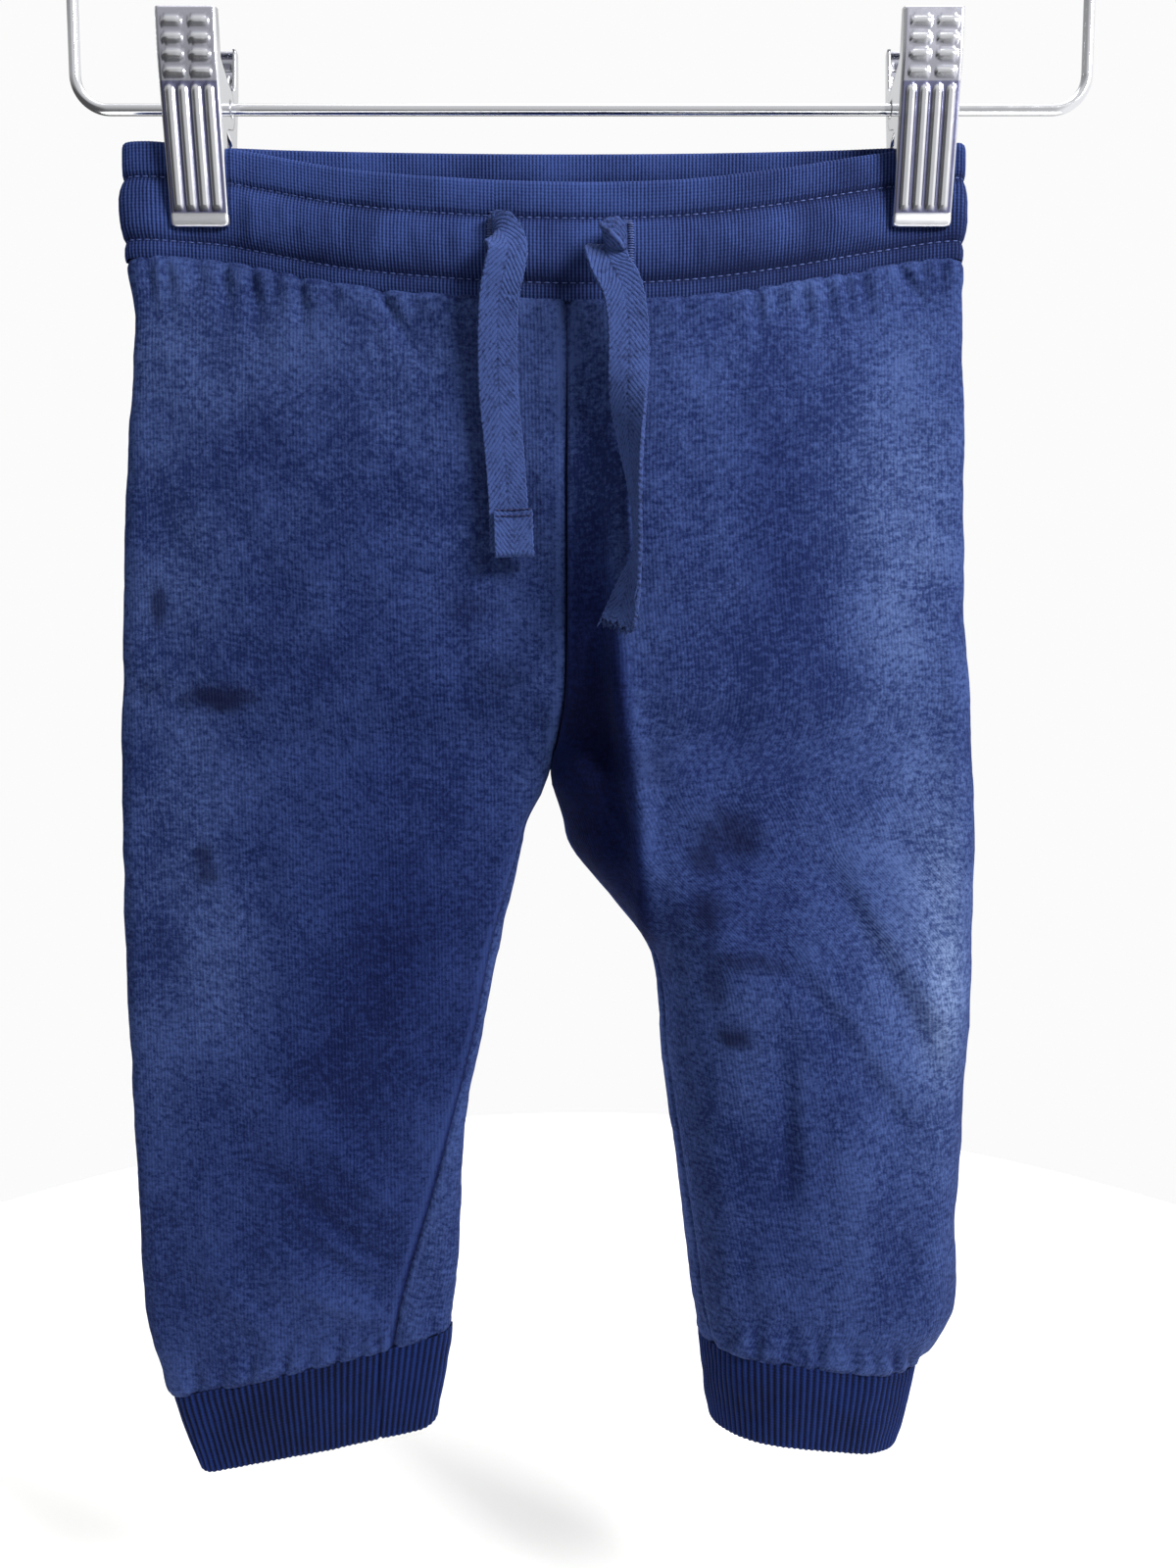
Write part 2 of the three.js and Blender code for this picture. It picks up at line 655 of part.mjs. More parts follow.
// The columns' places across a panel, from 0 to 1, closer together towards both seams.
const COLUMN_SHARES = numbers(PANEL_COLUMNS + 1).map((k) => {
  const even = k / PANEL_COLUMNS;
  return mix(even, Math.sin((Math.PI * even) / 2) ** 2, COLUMN_CROWDING);
});

// Both faces of one half as grids of points. The side seam lies a little behind the outer fold, and
// the inseam in front of the inner fold.
function halfGrids(half) {
  const front = [];
  const back = [];
  for (let row = 0; row <= LAST_ROW; row += 1) {
    const seam = levelAt(half.levels, row / ROWS_PER_LEVEL).seam;
    const backCut = cutStart(rowLine(half, BACK, row), SIDE_SEAM_BEHIND_FOLD);
    let frontLine = [...backCut.taken.reverse(), ...rowLine(half, FRONT, row).slice(1)];
    let backLine = backCut.kept;
    if (row > CROTCH_ROW) {
      const frontCut = cutStart([...frontLine].reverse(), seam);
      frontLine = frontCut.kept.reverse();
      backLine = [...backLine, ...frontCut.taken.slice(1)];
    }
    front.push(resample(frontLine, COLUMN_SHARES));
    back.push(resample(backLine, COLUMN_SHARES));
  }
  return { front, back };
}

// The direction into the garment at one point of a face, square to the cloth.
function inwardAt(half, face, grid, other, i, j) {
  const last = PANEL_COLUMNS;
  const up = grid[Math.max(i - 1, 0)][j];
  const down = grid[Math.min(i + 1, LAST_ROW)][j];
  const along = down.clone().sub(up);
  if (j === last && i <= CROTCH_ROW) {
    return inwardAtCentreSeam(face, grid, i);
  }
  const before = j === 0 ? other[i][1] : grid[i][j - 1];
  const after = j === last ? other[i][last - 1] : grid[i][j + 1];
  const direction = after.clone().sub(before).cross(along);
  direction.multiplyScalar(half.sign * face.sign);
  if (i === 0 || i === LAST_ROW) {
    direction.z = 0;
  }
  return direction.normalize();
}

// At the centre seam both halves share one direction, and at the crotch it points straight up.
function inwardAtCentreSeam(face, grid, i) {
  if (i === CROTCH_ROW) {
    return new THREE.Vector3(0, 0, 1);
  }
  const along = grid[i + 1][PANEL_COLUMNS].clone().sub(grid[Math.max(i - 1, 0)][PANEL_COLUMNS]);
  const direction = new THREE.Vector3(0, face.sign * along.z, -face.sign * along.y);
  if (i === 0) {
    direction.z = 0;
  }
  return direction.normalize();
}

// How far the large folds lift a point over the plain cloth.
function foldHeight(point, folds) {
  const place = new THREE.Vector2(point.x, point.z);
  return folds.reduce((sum, fold) => {
    const start = new THREE.Vector2(fold.x1, fold.z1);
    const run = new THREE.Vector2(fold.x2, fold.z2).sub(start);
    const share = THREE.MathUtils.clamp(place.clone().sub(start).dot(run) / run.lengthSq(), 0, 1);
    const distance = place.distanceTo(start.addScaledVector(run, share));
    return sum + fold.height * Math.exp(-((distance / fold.half) ** 2));
  }, 0);
}

// How far a gather lifts a point. Gathers stand on every second column, and fade away from the
// waistband and the cuff.
function gatherHeight(grid, i, j) {
  if (j % 2 === 0) {
    return 0;
  }
  const uneven = GATHER_HEIGHT + GATHER_UNEVENNESS * Math.sin(GATHER_TURN * j);
  const fromWaist = grid[i][j].distanceTo(grid[0][j]) / WAIST_GATHER_LENGTH;
  const fromCuff = grid[i][j].distanceTo(grid[LAST_ROW][j]) / CUFF_GATHER_LENGTH;
  return uneven * (Math.exp(-fromWaist) + Math.exp(-fromCuff));
}

const PANEL_INNER_ROWS = numbers(LAST_ROW + 1).filter((i) => (
  i % 2 === 0 || (i > CROTCH_ROW - FINE_ROWS_ABOVE_CROTCH && i < CROTCH_ROW + FINE_ROWS_BELOW_CROTCH)
));
const PANEL_INNER_COLUMNS = numbers(PANEL_COLUMNS / 2 + 1).map((k) => 2 * k);

function panelGeometry(half, face, grid, other, folds) {
  const inward = grid.map((row, i) => row.map((point, j) => inwardAt(half, face, grid, other, i, j)));
  const seamStep = (i, j) => {
    const step = new THREE.Vector3();
    if (j === 0 || j === PANEL_COLUMNS) {
      const neighbour = grid[i][j === 0 ? 1 : j - 1];
      step.copy(neighbour).sub(grid[i][j]).setLength(SEAM_GAP / 2);
    }
    return step;
  };
  const outer = grid.map((row, i) => row.map((point, j) => {
    const raised = j === 0 || j === PANEL_COLUMNS ? 0 : foldHeight(point, folds) + gatherHeight(grid, i, j);
    return point.clone().add(seamStep(i, j)).addScaledVector(inward[i][j], -raised);
  }));
  const inner = grid.map((row, i) => row.map((point, j) => (
    point.clone().addScaledVector(seamStep(i, j), INNER_SEAM_STEP).addScaledVector(inward[i][j], CLOTH_WALL)
  )));
  return wallGeometry(outer, inner, PANEL_INNER_ROWS, PANEL_INNER_COLUMNS, false);
}

// Cuffs: ribbed tubes, with the ribs raised on the outside only

function cuffGeometry(grids, hem) {
  const topFront = grids.front[LAST_ROW];
  const topBack = [...grids.back[LAST_ROW]].reverse();
  const top = [...topFront, ...topBack.slice(1)].map((point) => {
    const lowered = point.clone();
    lowered.z -= RIB_SEAM_GAP;
    return lowered;
  });
  const hemEnd = new THREE.Vector3(hem.xIn, hem.yIn, hem.zIn);
  const hemFront = faceLine(hem, FRONT, hemEnd, true);
  const hemBack = faceLine(hem, BACK, hemEnd, true).reverse();
  const cut = cutStart([...hemFront, ...hemBack.slice(1)].reverse(), SIDE_SEAM_BEHIND_FOLD);
  const bottom = [...cut.taken.reverse(), ...cut.kept.reverse().slice(1)];
  const columns = 2 * CUFF_RIBS;
  const shares = numbers(columns).map((k) => k / columns);
  const topRing = resample(top, shares);
  const bottomRing = resample(bottom, shares);
  const turn = Math.sign(signedArea(topRing));
  const outer = [];
  const inner = [];
  CUFF_SHARES.forEach((share) => {
    const ring = topRing.map((point, k) => point.clone().lerp(bottomRing[k], share));
    const outward = ring.map((point, k) => {
      const along = ring[(k + 2) % columns].clone().sub(ring[(k + columns - 2) % columns]);
      return new THREE.Vector3(along.y, -along.x, 0).multiplyScalar(turn).normalize();
    });
    outer.push(ring.map((point, k) => (
      point.clone().addScaledVector(outward[k], k % 2 === 0 ? 0 : RIB_HEIGHT)
    )));
    inner.push(ring.map((point, k) => point.clone().addScaledVector(outward[k], -CUFF_WALL)));
  });
  const keptColumns = numbers(CUFF_RIBS / 2).map((k) => 4 * k);
  return wallGeometry(outer, inner, [0, CUFF_SHARES.length - 1], keptColumns, true);
}

function signedArea(ring) {
  return ring.reduce((sum, point, k) => {
    const next = ring[(k + 1) % ring.length];
    return sum + point.x * next.y - next.x * point.y;
  }, 0);
}

function buildHalf(half) {
  const grids = halfGrids(half);
  const front = panelGeometry(half, FRONT, grids.front, grids.back, FRONT_FOLDS);
  const back = panelGeometry(half, BACK, grids.back, grids.front, BACK_FOLDS);
  addPiece(`front_${half.name}`, front, CLOTH);
  addPiece(`back_${half.name}`, back, CLOTH);
  addPiece(`cuff_${half.name}`, cuffGeometry(grids, CUFF_HEMS[half.name]), RIB);
}

// Drawstring: two free ends of flat tape out of the slits

// The tape's section, in halves of its width and of its thickness.
const TAPE_SECTION = [
  [1, -0.5], [1, 0.5], [TAPE_CORNER, 1], [-TAPE_CORNER, 1],
  [-1, 0.5], [-1, -0.5], [-TAPE_CORNER, -1], [TAPE_CORNER, -1],
];

function tapeGeometry(rows) {
  const places = numbers((rows.length - 1) * TAPE_STEPS_PER_ROW + 1).map((k) => k / TAPE_STEPS_PER_ROW);
  const path = places.map((place) => pointOn(rows, place));
  const rings = path.map((point, k) => {
    const tangent = tangentAt(path, k);
    const given = new THREE.Vector3(...['wx', 'wy', 'wz'].map((name) => spline(rows, name, places[k])));
    const width = given.addScaledVector(tangent, -given.dot(tangent)).normalize();
    const normal = tangent.clone().cross(width);
    return TAPE_SECTION.map(([across, through]) => point.clone()
      .addScaledVector(width, (across * TAPE_WIDTH) / 2)
      .addScaledVector(normal, (through * TAPE_THICK) / 2));
  });
  return loftGeometry(rings, fan(TAPE_SECTION.length));
}

// Hanger: a bent wire frame in five stretches, a ferrule and the hook

function buildHanger() {
  const barEnd = UPRIGHT_X - LOWER_BEND;
  const neckZ = hookFootZ() - FERRULE_TALL / 2;
  const slope = Math.atan2(SHOULDER_DROP, UPRIGHT_X);
  const shoulderX = FERRULE_RADIUS + SEAM_GAP + WIRE_RADIUS * Math.sin(slope);
  const bendAngle = THREE.MathUtils.radToDeg(Math.PI / 2 - slope);
  const bendX = UPRIGHT_X - UPPER_BEND;
  const bendStartX = bendX + UPPER_BEND * Math.sin(slope);
  const bendStartZ = neckZ - bendStartX * Math.tan(slope);
  const bendZ = bendStartZ - UPPER_BEND * Math.cos(slope);
  const bar = [new THREE.Vector3(-barEnd, 0, BAR_Z), new THREE.Vector3(barEnd, 0, BAR_Z)];
  addPiece('hanger_bar', wireGeometry(bar, WIRE_RADIUS), CHROME);
  [['right', -1], ['left', 1]].forEach(([name, side]) => {
    const upper = arcPoints(bendX, bendZ, UPPER_BEND, bendAngle, 0, BEND_STEPS);
    const lower = arcPoints(barEnd, BAR_Z + LOWER_BEND, LOWER_BEND, 0, -90, BEND_STEPS);
    lower[lower.length - 1].x += SEAM_GAP;
    const end = [...upper, ...lower];
    const shoulder = [
      new THREE.Vector3(shoulderX, 0, neckZ - shoulderX * Math.tan(slope)),
      new THREE.Vector3(bendStartX - SEAM_GAP, 0, bendStartZ + SEAM_GAP * Math.tan(slope)),
    ];
    [end, shoulder].flat().forEach((point) => point.setX(point.x * side));
    addPiece(`hanger_end_${name}`, wireGeometry(end, WIRE_RADIUS), CHROME);
    addPiece(`hanger_shoulder_${name}`, wireGeometry(shoulder, WIRE_RADIUS), CHROME);
  });
  addPiece('hanger_hook', wireGeometry(hookPath(), HOOK_RADIUS), CHROME);
  addPiece('hanger_ferrule', ferruleGeometry(neckZ), CHROME);
}

// The hook's arc runs over the top and back under itself, and a wider arc swings into the stem.
function hookSwing() {
  const wireRadius = HOOK_MOUTH_RADIUS + HOOK_RADIUS;
  const foot = THREE.MathUtils.degToRad(HOOK_FOOT_ANGLE);
  const footX = wireRadius * Math.cos(foot);
  const swingRadius = footX / (1 - Math.cos(foot));
  const footZ = -HOOK_MOUTH_RADIUS + wireRadius * Math.sin(foot);
  return { wireRadius, swingRadius, footZ, stemZ: footZ + swingRadius * Math.sin(foot) };
}

function hookFootZ() {
  return hookSwing().stemZ - HOOK_STEM;
}

function hookPath() {
  const { wireRadius, swingRadius, footZ, stemZ } = hookSwing();
  const foot = THREE.MathUtils.degToRad(HOOK_FOOT_ANGLE);
  const over = arcPoints(0, -HOOK_MOUTH_RADIUS, wireRadius, HOOK_TIP_ANGLE, HOOK_FOOT_ANGLE, HOOK_STEPS);
  const swingZ = footZ + swingRadius * Math.sin(foot);
  const swing = arcPoints(swingRadius, swingZ, swingRadius, 180 + HOOK_FOOT_ANGLE, 180, HOOK_SWING_STEPS);
  return [...over, ...swing.slice(1), new THREE.Vector3(0, 0, stemZ - HOOK_STEM)];
}

function ferruleGeometry(neckZ) {
  const half = FERRULE_TALL / 2 - SEAM_GAP;
  const profile = [
    new THREE.Vector2(0, -half),
    new THREE.Vector2(FERRULE_RADIUS - FERRULE_BEVEL, -half),
    new THREE.Vector2(FERRULE_RADIUS, -half + FERRULE_BEVEL),
    new THREE.Vector2(FERRULE_RADIUS, half - FERRULE_BEVEL),
    new THREE.Vector2(FERRULE_RADIUS - FERRULE_BEVEL, half),
    new THREE.Vector2(0, half),
  ];
  const geometry = new THREE.LatheGeometry(profile, FERRULE_SIDES);
  geometry.rotateX(Math.PI / 2);
  geometry.translate(0, 0, neckZ);
  return geometry;
}

// Clips: two pressed jaws on the bar, with a coil spring around the bar between them

// The section of a jaw at one row: a ridged face, two flanges, and the flat inner side of the plate.
function jawProfile(row, halfWidth, side) {
  const outY = side * row.out;
  const backY = side * (row.out - row.flange);
  const webY = side * (row.out - PLATE);
  const spacing = (halfWidth - JAW_BORDER) / JAW_RIDGES;
  const face = numbers(2 * JAW_RIDGES + 1).map((k) => {
    const raised = k % 2 === 1 ? JAW_RIDGE_HEIGHT * row.ridge : 0;
    return [-halfWidth + JAW_BORDER + spacing * k, outY + side * raised];
  });
  const inside = halfWidth - PLATE;
  const rim = side * Math.min(JAW_RIM, row.flange / 3);
  return [
    [-halfWidth, outY - rim], ...face, [halfWidth, outY - rim],
    [halfWidth, backY], [inside, backY], [inside, webY],
    [-inside, webY], [-inside, backY], [-halfWidth, backY],
  ].map(([x, y]) => new THREE.Vector3(x, y, row.z));
}

function jawGeometry(halfWidth, side) {
  const rings = JAW_ROWS.map((row) => jawProfile(row, halfWidth, side));
  const jaw = toSolid(loftGeometry(rings, capTriangles(rings[0])));
  const bore = WIRE_RADIUS + RUNNING_GAP;
  const hole = new THREE.CylinderGeometry(bore, bore, 4 * halfWidth, BORE_SIDES);
  hole.rotateZ(Math.PI / 2);
  hole.translate(0, 0, BAR_Z);
  return fromSolid(jaw.subtract(toSolid(hole)));
}

function springGeometry() {
  const half = SPRING_LENGTH / 2;
  const bore = WIRE_RADIUS + RUNNING_GAP;
  const profile = [
    new THREE.Vector2(bore, -half),
    new THREE.Vector2(SPRING_OUTER_RADIUS, -half),
    new THREE.Vector2(SPRING_OUTER_RADIUS, half),
    new THREE.Vector2(bore, half),
    new THREE.Vector2(bore, -half),
  ];
  const geometry = new THREE.LatheGeometry(profile, BORE_SIDES);
  geometry.rotateZ(Math.PI / 2);
  geometry.translate(0, 0, BAR_Z);
  return geometry;
}

function buildClip(name, x) {
  const clip = new THREE.Group();
  clip.position.x = x;
  trousers.add(clip);
  addPiece(`clip_${name}_front_jaw`, jawGeometry(FRONT_JAW_HALF_WIDTH, -1), CHROME, clip);
  addPiece(`clip_${name}_back_jaw`, jawGeometry(BACK_JAW_HALF_WIDTH, 1), CHROME, clip);
  addPiece(`clip_${name}_spring`, springGeometry(), CHROME, clip);
}

buildWaistband();
buildHalf({ name: 'right', sign: -1, levels: RIGHT_LEVELS });
buildHalf({ name: 'left', sign: 1, levels: LEFT_LEVELS });
addPiece('drawstring_right', tapeGeometry(RIGHT_TAPE), TAPE);
addPiece('drawstring_left', tapeGeometry(LEFT_TAPE), TAPE);
buildHanger();
buildClip('right', CLIP_X.right);
buildClip('left', CLIP_X.left);

export default trousers;
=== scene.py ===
import math

import bmesh
import bpy
import numpy as np
from mathutils import Matrix, Vector


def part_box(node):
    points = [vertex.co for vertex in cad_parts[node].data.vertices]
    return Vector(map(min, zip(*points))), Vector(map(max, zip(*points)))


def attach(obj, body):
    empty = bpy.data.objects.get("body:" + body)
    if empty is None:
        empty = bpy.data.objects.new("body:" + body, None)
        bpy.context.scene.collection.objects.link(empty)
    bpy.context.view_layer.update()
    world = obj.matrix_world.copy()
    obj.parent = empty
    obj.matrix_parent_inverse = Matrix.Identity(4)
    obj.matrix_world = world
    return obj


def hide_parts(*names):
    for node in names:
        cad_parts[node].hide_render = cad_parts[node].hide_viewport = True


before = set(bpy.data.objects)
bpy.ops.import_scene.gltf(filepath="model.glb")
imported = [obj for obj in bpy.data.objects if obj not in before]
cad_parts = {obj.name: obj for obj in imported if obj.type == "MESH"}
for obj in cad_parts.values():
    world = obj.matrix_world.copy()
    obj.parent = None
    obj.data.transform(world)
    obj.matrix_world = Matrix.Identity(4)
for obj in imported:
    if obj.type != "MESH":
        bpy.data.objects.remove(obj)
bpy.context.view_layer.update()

# Camera: a phone's wide lens, a third of a metre in front of the trousers and pitched a little down.
# The frame is taller than wide, so the sensor's long side is the frame's height.
MM = 0.001
CAMERA_LENS = 27
CAMERA_SENSOR = 36
CAMERA_PLACE = Vector((1.9, -333, -304)) * MM
CAMERA_PITCH_DOWN = math.radians(5)

camera_data = bpy.data.cameras.new("camera")
camera_data.lens = CAMERA_LENS
camera_data.sensor_width = CAMERA_SENSOR
camera_data.clip_start = 0.01
camera = bpy.data.objects.new("camera", camera_data)
camera.location = CAMERA_PLACE
camera.rotation_euler = (math.pi / 2 - CAMERA_PITCH_DOWN, 0, 0)
bpy.context.scene.collection.objects.link(camera)
bpy.context.scene.camera = camera

# Drawstring: the two free ends of one flat cotton tape, woven in herringbone twill and brushed, 10 mm wide.
# Each leaves the waistband through its buttonhole, turns over flat and hangs down. The right end is folded
# and stitched, and the left end is cut and has begun to fray.
TAPE_WIDTH = 10.2
TAPE_THICK = 1.1
TAPE_COLUMNS = 44
TAPE_COLOUR = "3a4c82"
TAPE_SHADE = "101a3c"
# The twill's lines are 1.1 mm apart, and are drawn 1.6 mm apart to show in the render.
TWILL_PITCH = 1.6
TWILL_SLOPE = 1.35
TWILL_HEIGHT = 0.2
TAPE_LENGTHS = {"right": 88, "left": 111}
HEM_LENGTH = 11.2
# The folded end lies a little to the side of the tape behind it.
HEM_SHIFT = 1.3
HEM_TURN_RADIUS = 0.75
HEM_TURN_STEPS = 22
RAGGED_ENDS = {"right": 0, "left": 1.2}
NAP_HAIRS = 1500
HAIRS_AT_EDGES = 0.6
HAIR_LENGTHS = (0.35, 1.0)
HAIR_RADIUS = 0.05
FRAY_YARNS = 34
FRAY_LENGTHS = (0.8, 2.6)
YARN_RADIUS = 0.2
# The one yarn that has come loose, from the tape's cut end down.
LOOSE_YARN = [
    (14.6, -31.5, -277), (14.4, -32, -280), (13.6, -32, -283), (14, -31.6, -285.6), (15, -31, -288),
    (16, -30.4, -289.4),
]

# The routes' points in millimetres, with the direction of the tape's width.
TAPE_ROUTES = {
    "right": [
        (-22.2, -14.7, -188.3, 0, 0, 1),
        (-22.2, -17, -188.2, 0, 0, 1),
        (-20.6, -19.3, -188.8, 0.45, 0.2, 0.85),
        (-18.8, -20.4, -192.7, 0.85, 0.3, 0.4),
        (-19.6, -20.4, -198.2, 1, 0.1, 0.1),
        (-21, -19.6, -205, 1, 0, 0),
        (-21.6, -18.4, -217, 1, 0, 0),
        (-21.4, -17.4, -230, 1, 0, 0),
        (-20.2, -16.8, -243, 1, 0, 0),
        (-19.3, -16.4, -256, 1, 0, 0),
        (-18.9, -16.2, -269.8, 1, 0, 0),
    ],
    "left": [
        (11.5, -15.2, -191, 0, 0, 1),
        (11.5, -17.8, -190.9, 0, 0, 1),
        (9, -20.4, -191, 0.3, 0.1, 0.95),
        (6.4, -22.2, -194, 0.6, 0.2, 0.75),
        (7.6, -23.2, -198.4, 0.75, 0.1, 0.65),
        (10.6, -23.8, -204, 0.9, 0, 0.42),
        (12.1, -24, -212.5, 1, 0, 0.1),
        (12.3, -24.2, -222, 1, 0, 0),
        (12.2, -24.8, -232, 0.86, -0.5, 0),
        (13, -26, -243, 0.54, -0.84, 0),
        (14.2, -27.4, -254, 0.24, -0.97, 0),
        (14.9, -28.4, -264, 0.1, -0.99, 0),
        (14.6, -28.2, -272, 0.16, -0.98, 0),
        (12.4, -27, -280, 0.56, -0.82, 0),
        (9.3, -26, -290, 0.88, -0.47, 0),
    ],
}


def linear(sheet_colour):
    """The linear colour of an sRGB hex value."""
    channels = [int(sheet_colour[k:k + 2], 16) / 255 for k in (0, 2, 4)]
    return [c / 12.92 if c <= 0.04045 else ((c + 0.055) / 1.055) ** 2.4 for c in channels] + [1.0]


def add_node(tree, kind, inputs=(), **settings):
    """Adds a node. inputs gives a socket its value, or the output or the whole node that feeds it."""
    node = tree.nodes.new("ShaderNode" + kind)
    for name, value in settings.items():
        setattr(node, name, value)
    for key, value in dict(inputs).items():
        if isinstance(value, bpy.types.Node):
            value = next(output for output in value.outputs if output.enabled)
        if isinstance(value, bpy.types.NodeSocket):
            tree.links.new(value, node.inputs[key])
        else:
            node.inputs[key].default_value = value
    return node


def new_material(name):
    """An empty node material and its tree."""
    material = bpy.data.materials.new(name)
    material.use_nodes = True
    material.node_tree.nodes.clear()
    return material, material.node_tree


def between(rows, at):
    """Rows of values at fractional places, on a smooth curve through the given rows."""
    at = np.clip(at, 0, len(rows) - 1)
    k = np.minimum(at.astype(int), len(rows) - 2)
    f = (at - k).reshape(-1, *[1] * (rows.ndim - 1))
    padded = np.concatenate([2 * rows[:1] - rows[1:2], rows, 2 * rows[-1:] - rows[-2:-1]])
    a, b, c, d = (padded[k + n] for n in range(4))
    return 0.5 * (2 * b + (c - a) * f + (2 * a - 5 * b + 4 * c - d) * f**2 + (3 * b - a - 3 * c + d) * f**3)


def unit(vectors):
    return vectors / np.maximum(np.linalg.norm(vectors, axis=-1, keepdims=True), 1e-12)


def bell(off, half, power=2):
    """1 in the middle, falling softly to 0 past the half width. A higher power has a flatter top."""
    return np.exp(-np.abs(off / half) ** power)


def run_along(points, axis):
    """How far each point of a grid lies along its row or column, in the points' own unit."""
    steps = np.linalg.norm(np.diff(points, axis=axis), axis=-1)
    return np.concatenate([np.zeros_like(np.take(steps, [0], axis)), np.cumsum(steps, axis)], axis)


def grid_piece(name, points, outward, cut, material, marks=None, ring=False):
    """A mesh through a grid of points in millimetres, with its faces towards outward.

    cut is each point's place on the flat cloth in millimetres, and marks are named numbers at each point.
    A ring's last column lies on its first, and they are joined.
    """
    rows, columns = (n - 1 for n in points.shape[:2])
    marks = marks or {}
    bm = bmesh.new()
    bmesh.ops.create_grid(bm, x_segments=columns, y_segments=rows, size=0.5)
    flat = bm.loops.layers.uv.new("cut")
    layers = {key: bm.verts.layers.float.new(key) for key in marks}
    for vert in bm.verts:
        i = round((0.5 - vert.co.y) * rows)
        j = round((vert.co.x + 0.5) * columns)
        for loop in vert.link_loops:
            loop[flat].uv = cut[i, j] * MM
        for key, layer in layers.items():
            vert[layer] = marks[key][i, j]
        vert.co = points[i, j] * MM
    bm.normal_update()
    bm.faces.ensure_lookup_table()
    middle = bm.faces[len(bm.faces) // 2]
    corner = middle.verts[0].co / MM
    nearest = np.unravel_index(np.argmin(((points - corner) ** 2).sum(-1)), points.shape[:2])
    if middle.normal.dot(Vector(outward[nearest])) < 0:
        bmesh.ops.reverse_faces(bm, faces=bm.faces)
    if ring:
        seam = [v for v in bm.verts if v.is_boundary]
        bmesh.ops.remove_doubles(bm, verts=seam, dist=0.002 * MM)
    return finished(name, bm, material)


def finished(name, bm, material):
    """The bmesh as a smooth piece that rides on the one body."""
    mesh = bpy.data.meshes.new(name)
    bm.to_mesh(mesh)
    bm.free()
    mesh.polygons.foreach_set("use_smooth", [True] * len(mesh.polygons))
    mesh.materials.append(material)
    piece = bpy.data.objects.new(name, mesh)
    bpy.context.scene.collection.objects.link(piece)
    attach(piece, "root")
    return piece


def thicken(piece, wall, offset=-1):
    """Gives an open mesh its wall, inwards where offset is -1 and both ways where it is 0."""
    solidify = piece.modifiers.new("wall", "SOLIDIFY")
    solidify.thickness = wall * MM
    solidify.offset = offset


def rods(name, ends, radius, material, sides=6, rings=4):
    """Short rods as one mesh: a stitch, a yarn's end or a hair between each two places in millimetres."""
    bm = bmesh.new()
    bmesh.ops.create_uvsphere(bm, u_segments=sides, v_segments=rings, radius=1)
    bm.verts.ensure_lookup_table()
    rod = np.array([vert.co[:] for vert in bm.verts])
    faces = [[vert.index for vert in face.verts] for face in bm.faces]
    bm.free()
    starts, tips = np.array([list(pair) for pair in ends]).swapaxes(0, 1)
    along = unit(tips - starts)
    first = unit(np.cross(along, [0.31, 0.2, 0.93]))
    second = np.cross(along, first)
    half = np.linalg.norm(tips - starts, axis=-1) / 2 + radius
    places = ((starts + tips) / 2)[:, None] + radius * rod[None, :, 0:1] * first[:, None]
    places = places + radius * rod[None, :, 1:2] * second[:, None]
    places = places + rod[None, :, 2:3] * (along * half[:, None])[:, None]
    joined = [[i + k * len(rod) for i in face] for k in range(len(ends)) for face in faces]
    mesh = bpy.data.meshes.new(name)
    mesh.from_pydata((places.reshape(-1, 3) * MM).tolist(), [], joined)
    bm = bmesh.new()
    bm.from_mesh(mesh)
    bpy.data.meshes.remove(mesh)
    return finished(name, bm, material)


def tape_material():
    """Brushed cotton tape: matt, with a nap that catches light at the edges and darker gaps in the twill."""
    material, tree = new_material("brushed cotton twill tape")
    place = add_node(tree, "TexCoord").outputs["Object"]
    ridge = add_node(tree, "Attribute", attribute_name="twill").outputs["Fac"]
    fibre = add_node(tree, "TexNoise", {"Vector": place, "Scale": 2600, "Detail": 4})
    patch = add_node(tree, "TexNoise", {"Vector": place, "Scale": 260, "Detail": 3})
    pores = add_node(tree, "TexNoise", {"Vector": place, "Scale": 1100, "Detail": 2})
    open_pores = add_node(tree, "MapRange", {
        "Value": pores, "From Min": 0.36, "From Max": 0.5, "To Min": -0.4, "To Max": 0,
    })
    worn_patch = add_node(tree, "Math", {0: fibre, 1: 0.85, 2: patch}, operation="MULTIPLY_ADD")
    # The twill's gaps and open pores are darker than its ridges: a painted shade in the weave's hollows, on
    # uneven worn patches.
    woven = add_node(tree, "Math", {0: ridge, 1: 0.62, 2: worn_patch}, operation="MULTIPLY_ADD")
    wear_and_shade = add_node(tree, "Math", {0: woven, 1: open_pores}, operation="ADD")
    share = add_node(tree, "MapRange", {"Value": wear_and_shade, "From Min": 0.5, "From Max": 1.4})
    colour = add_node(
        tree, "Mix", {0: share, 6: linear(TAPE_SHADE), 7: linear(TAPE_COLOUR)}, data_type="RGBA"
    )
    bump = add_node(tree, "Bump", {"Height": fibre, "Strength": 0.8, "Distance": 0.25 * MM})
    cloth = add_node(tree, "BsdfPrincipled", {
        "Base Color": colour, "Roughness": 0.9, "Specular IOR Level": 0.2, "Sheen Weight": 0.15,
        "Sheen Roughness": 0.45, "Sheen Tint": linear("8ea4ee"), "Normal": bump,
    })
    add_node(tree, "OutputMaterial", {"Surface": cloth})
    return material


TAPE_MATERIAL = tape_material()


def tape_line(route, rows):
    """Points down the tape's middle, its width's direction and its face's direction, at each row."""
    values = between(np.array(route, float), np.linspace(0, len(route) - 1, rows))
    middle = values[:, :3]
    tangent = unit(np.gradient(middle, axis=0))
    width = values[:, 3:]
    width = unit(width - (width * tangent).sum(-1, keepdims=True) * tangent)
    return middle, width, np.cross(width, tangent)


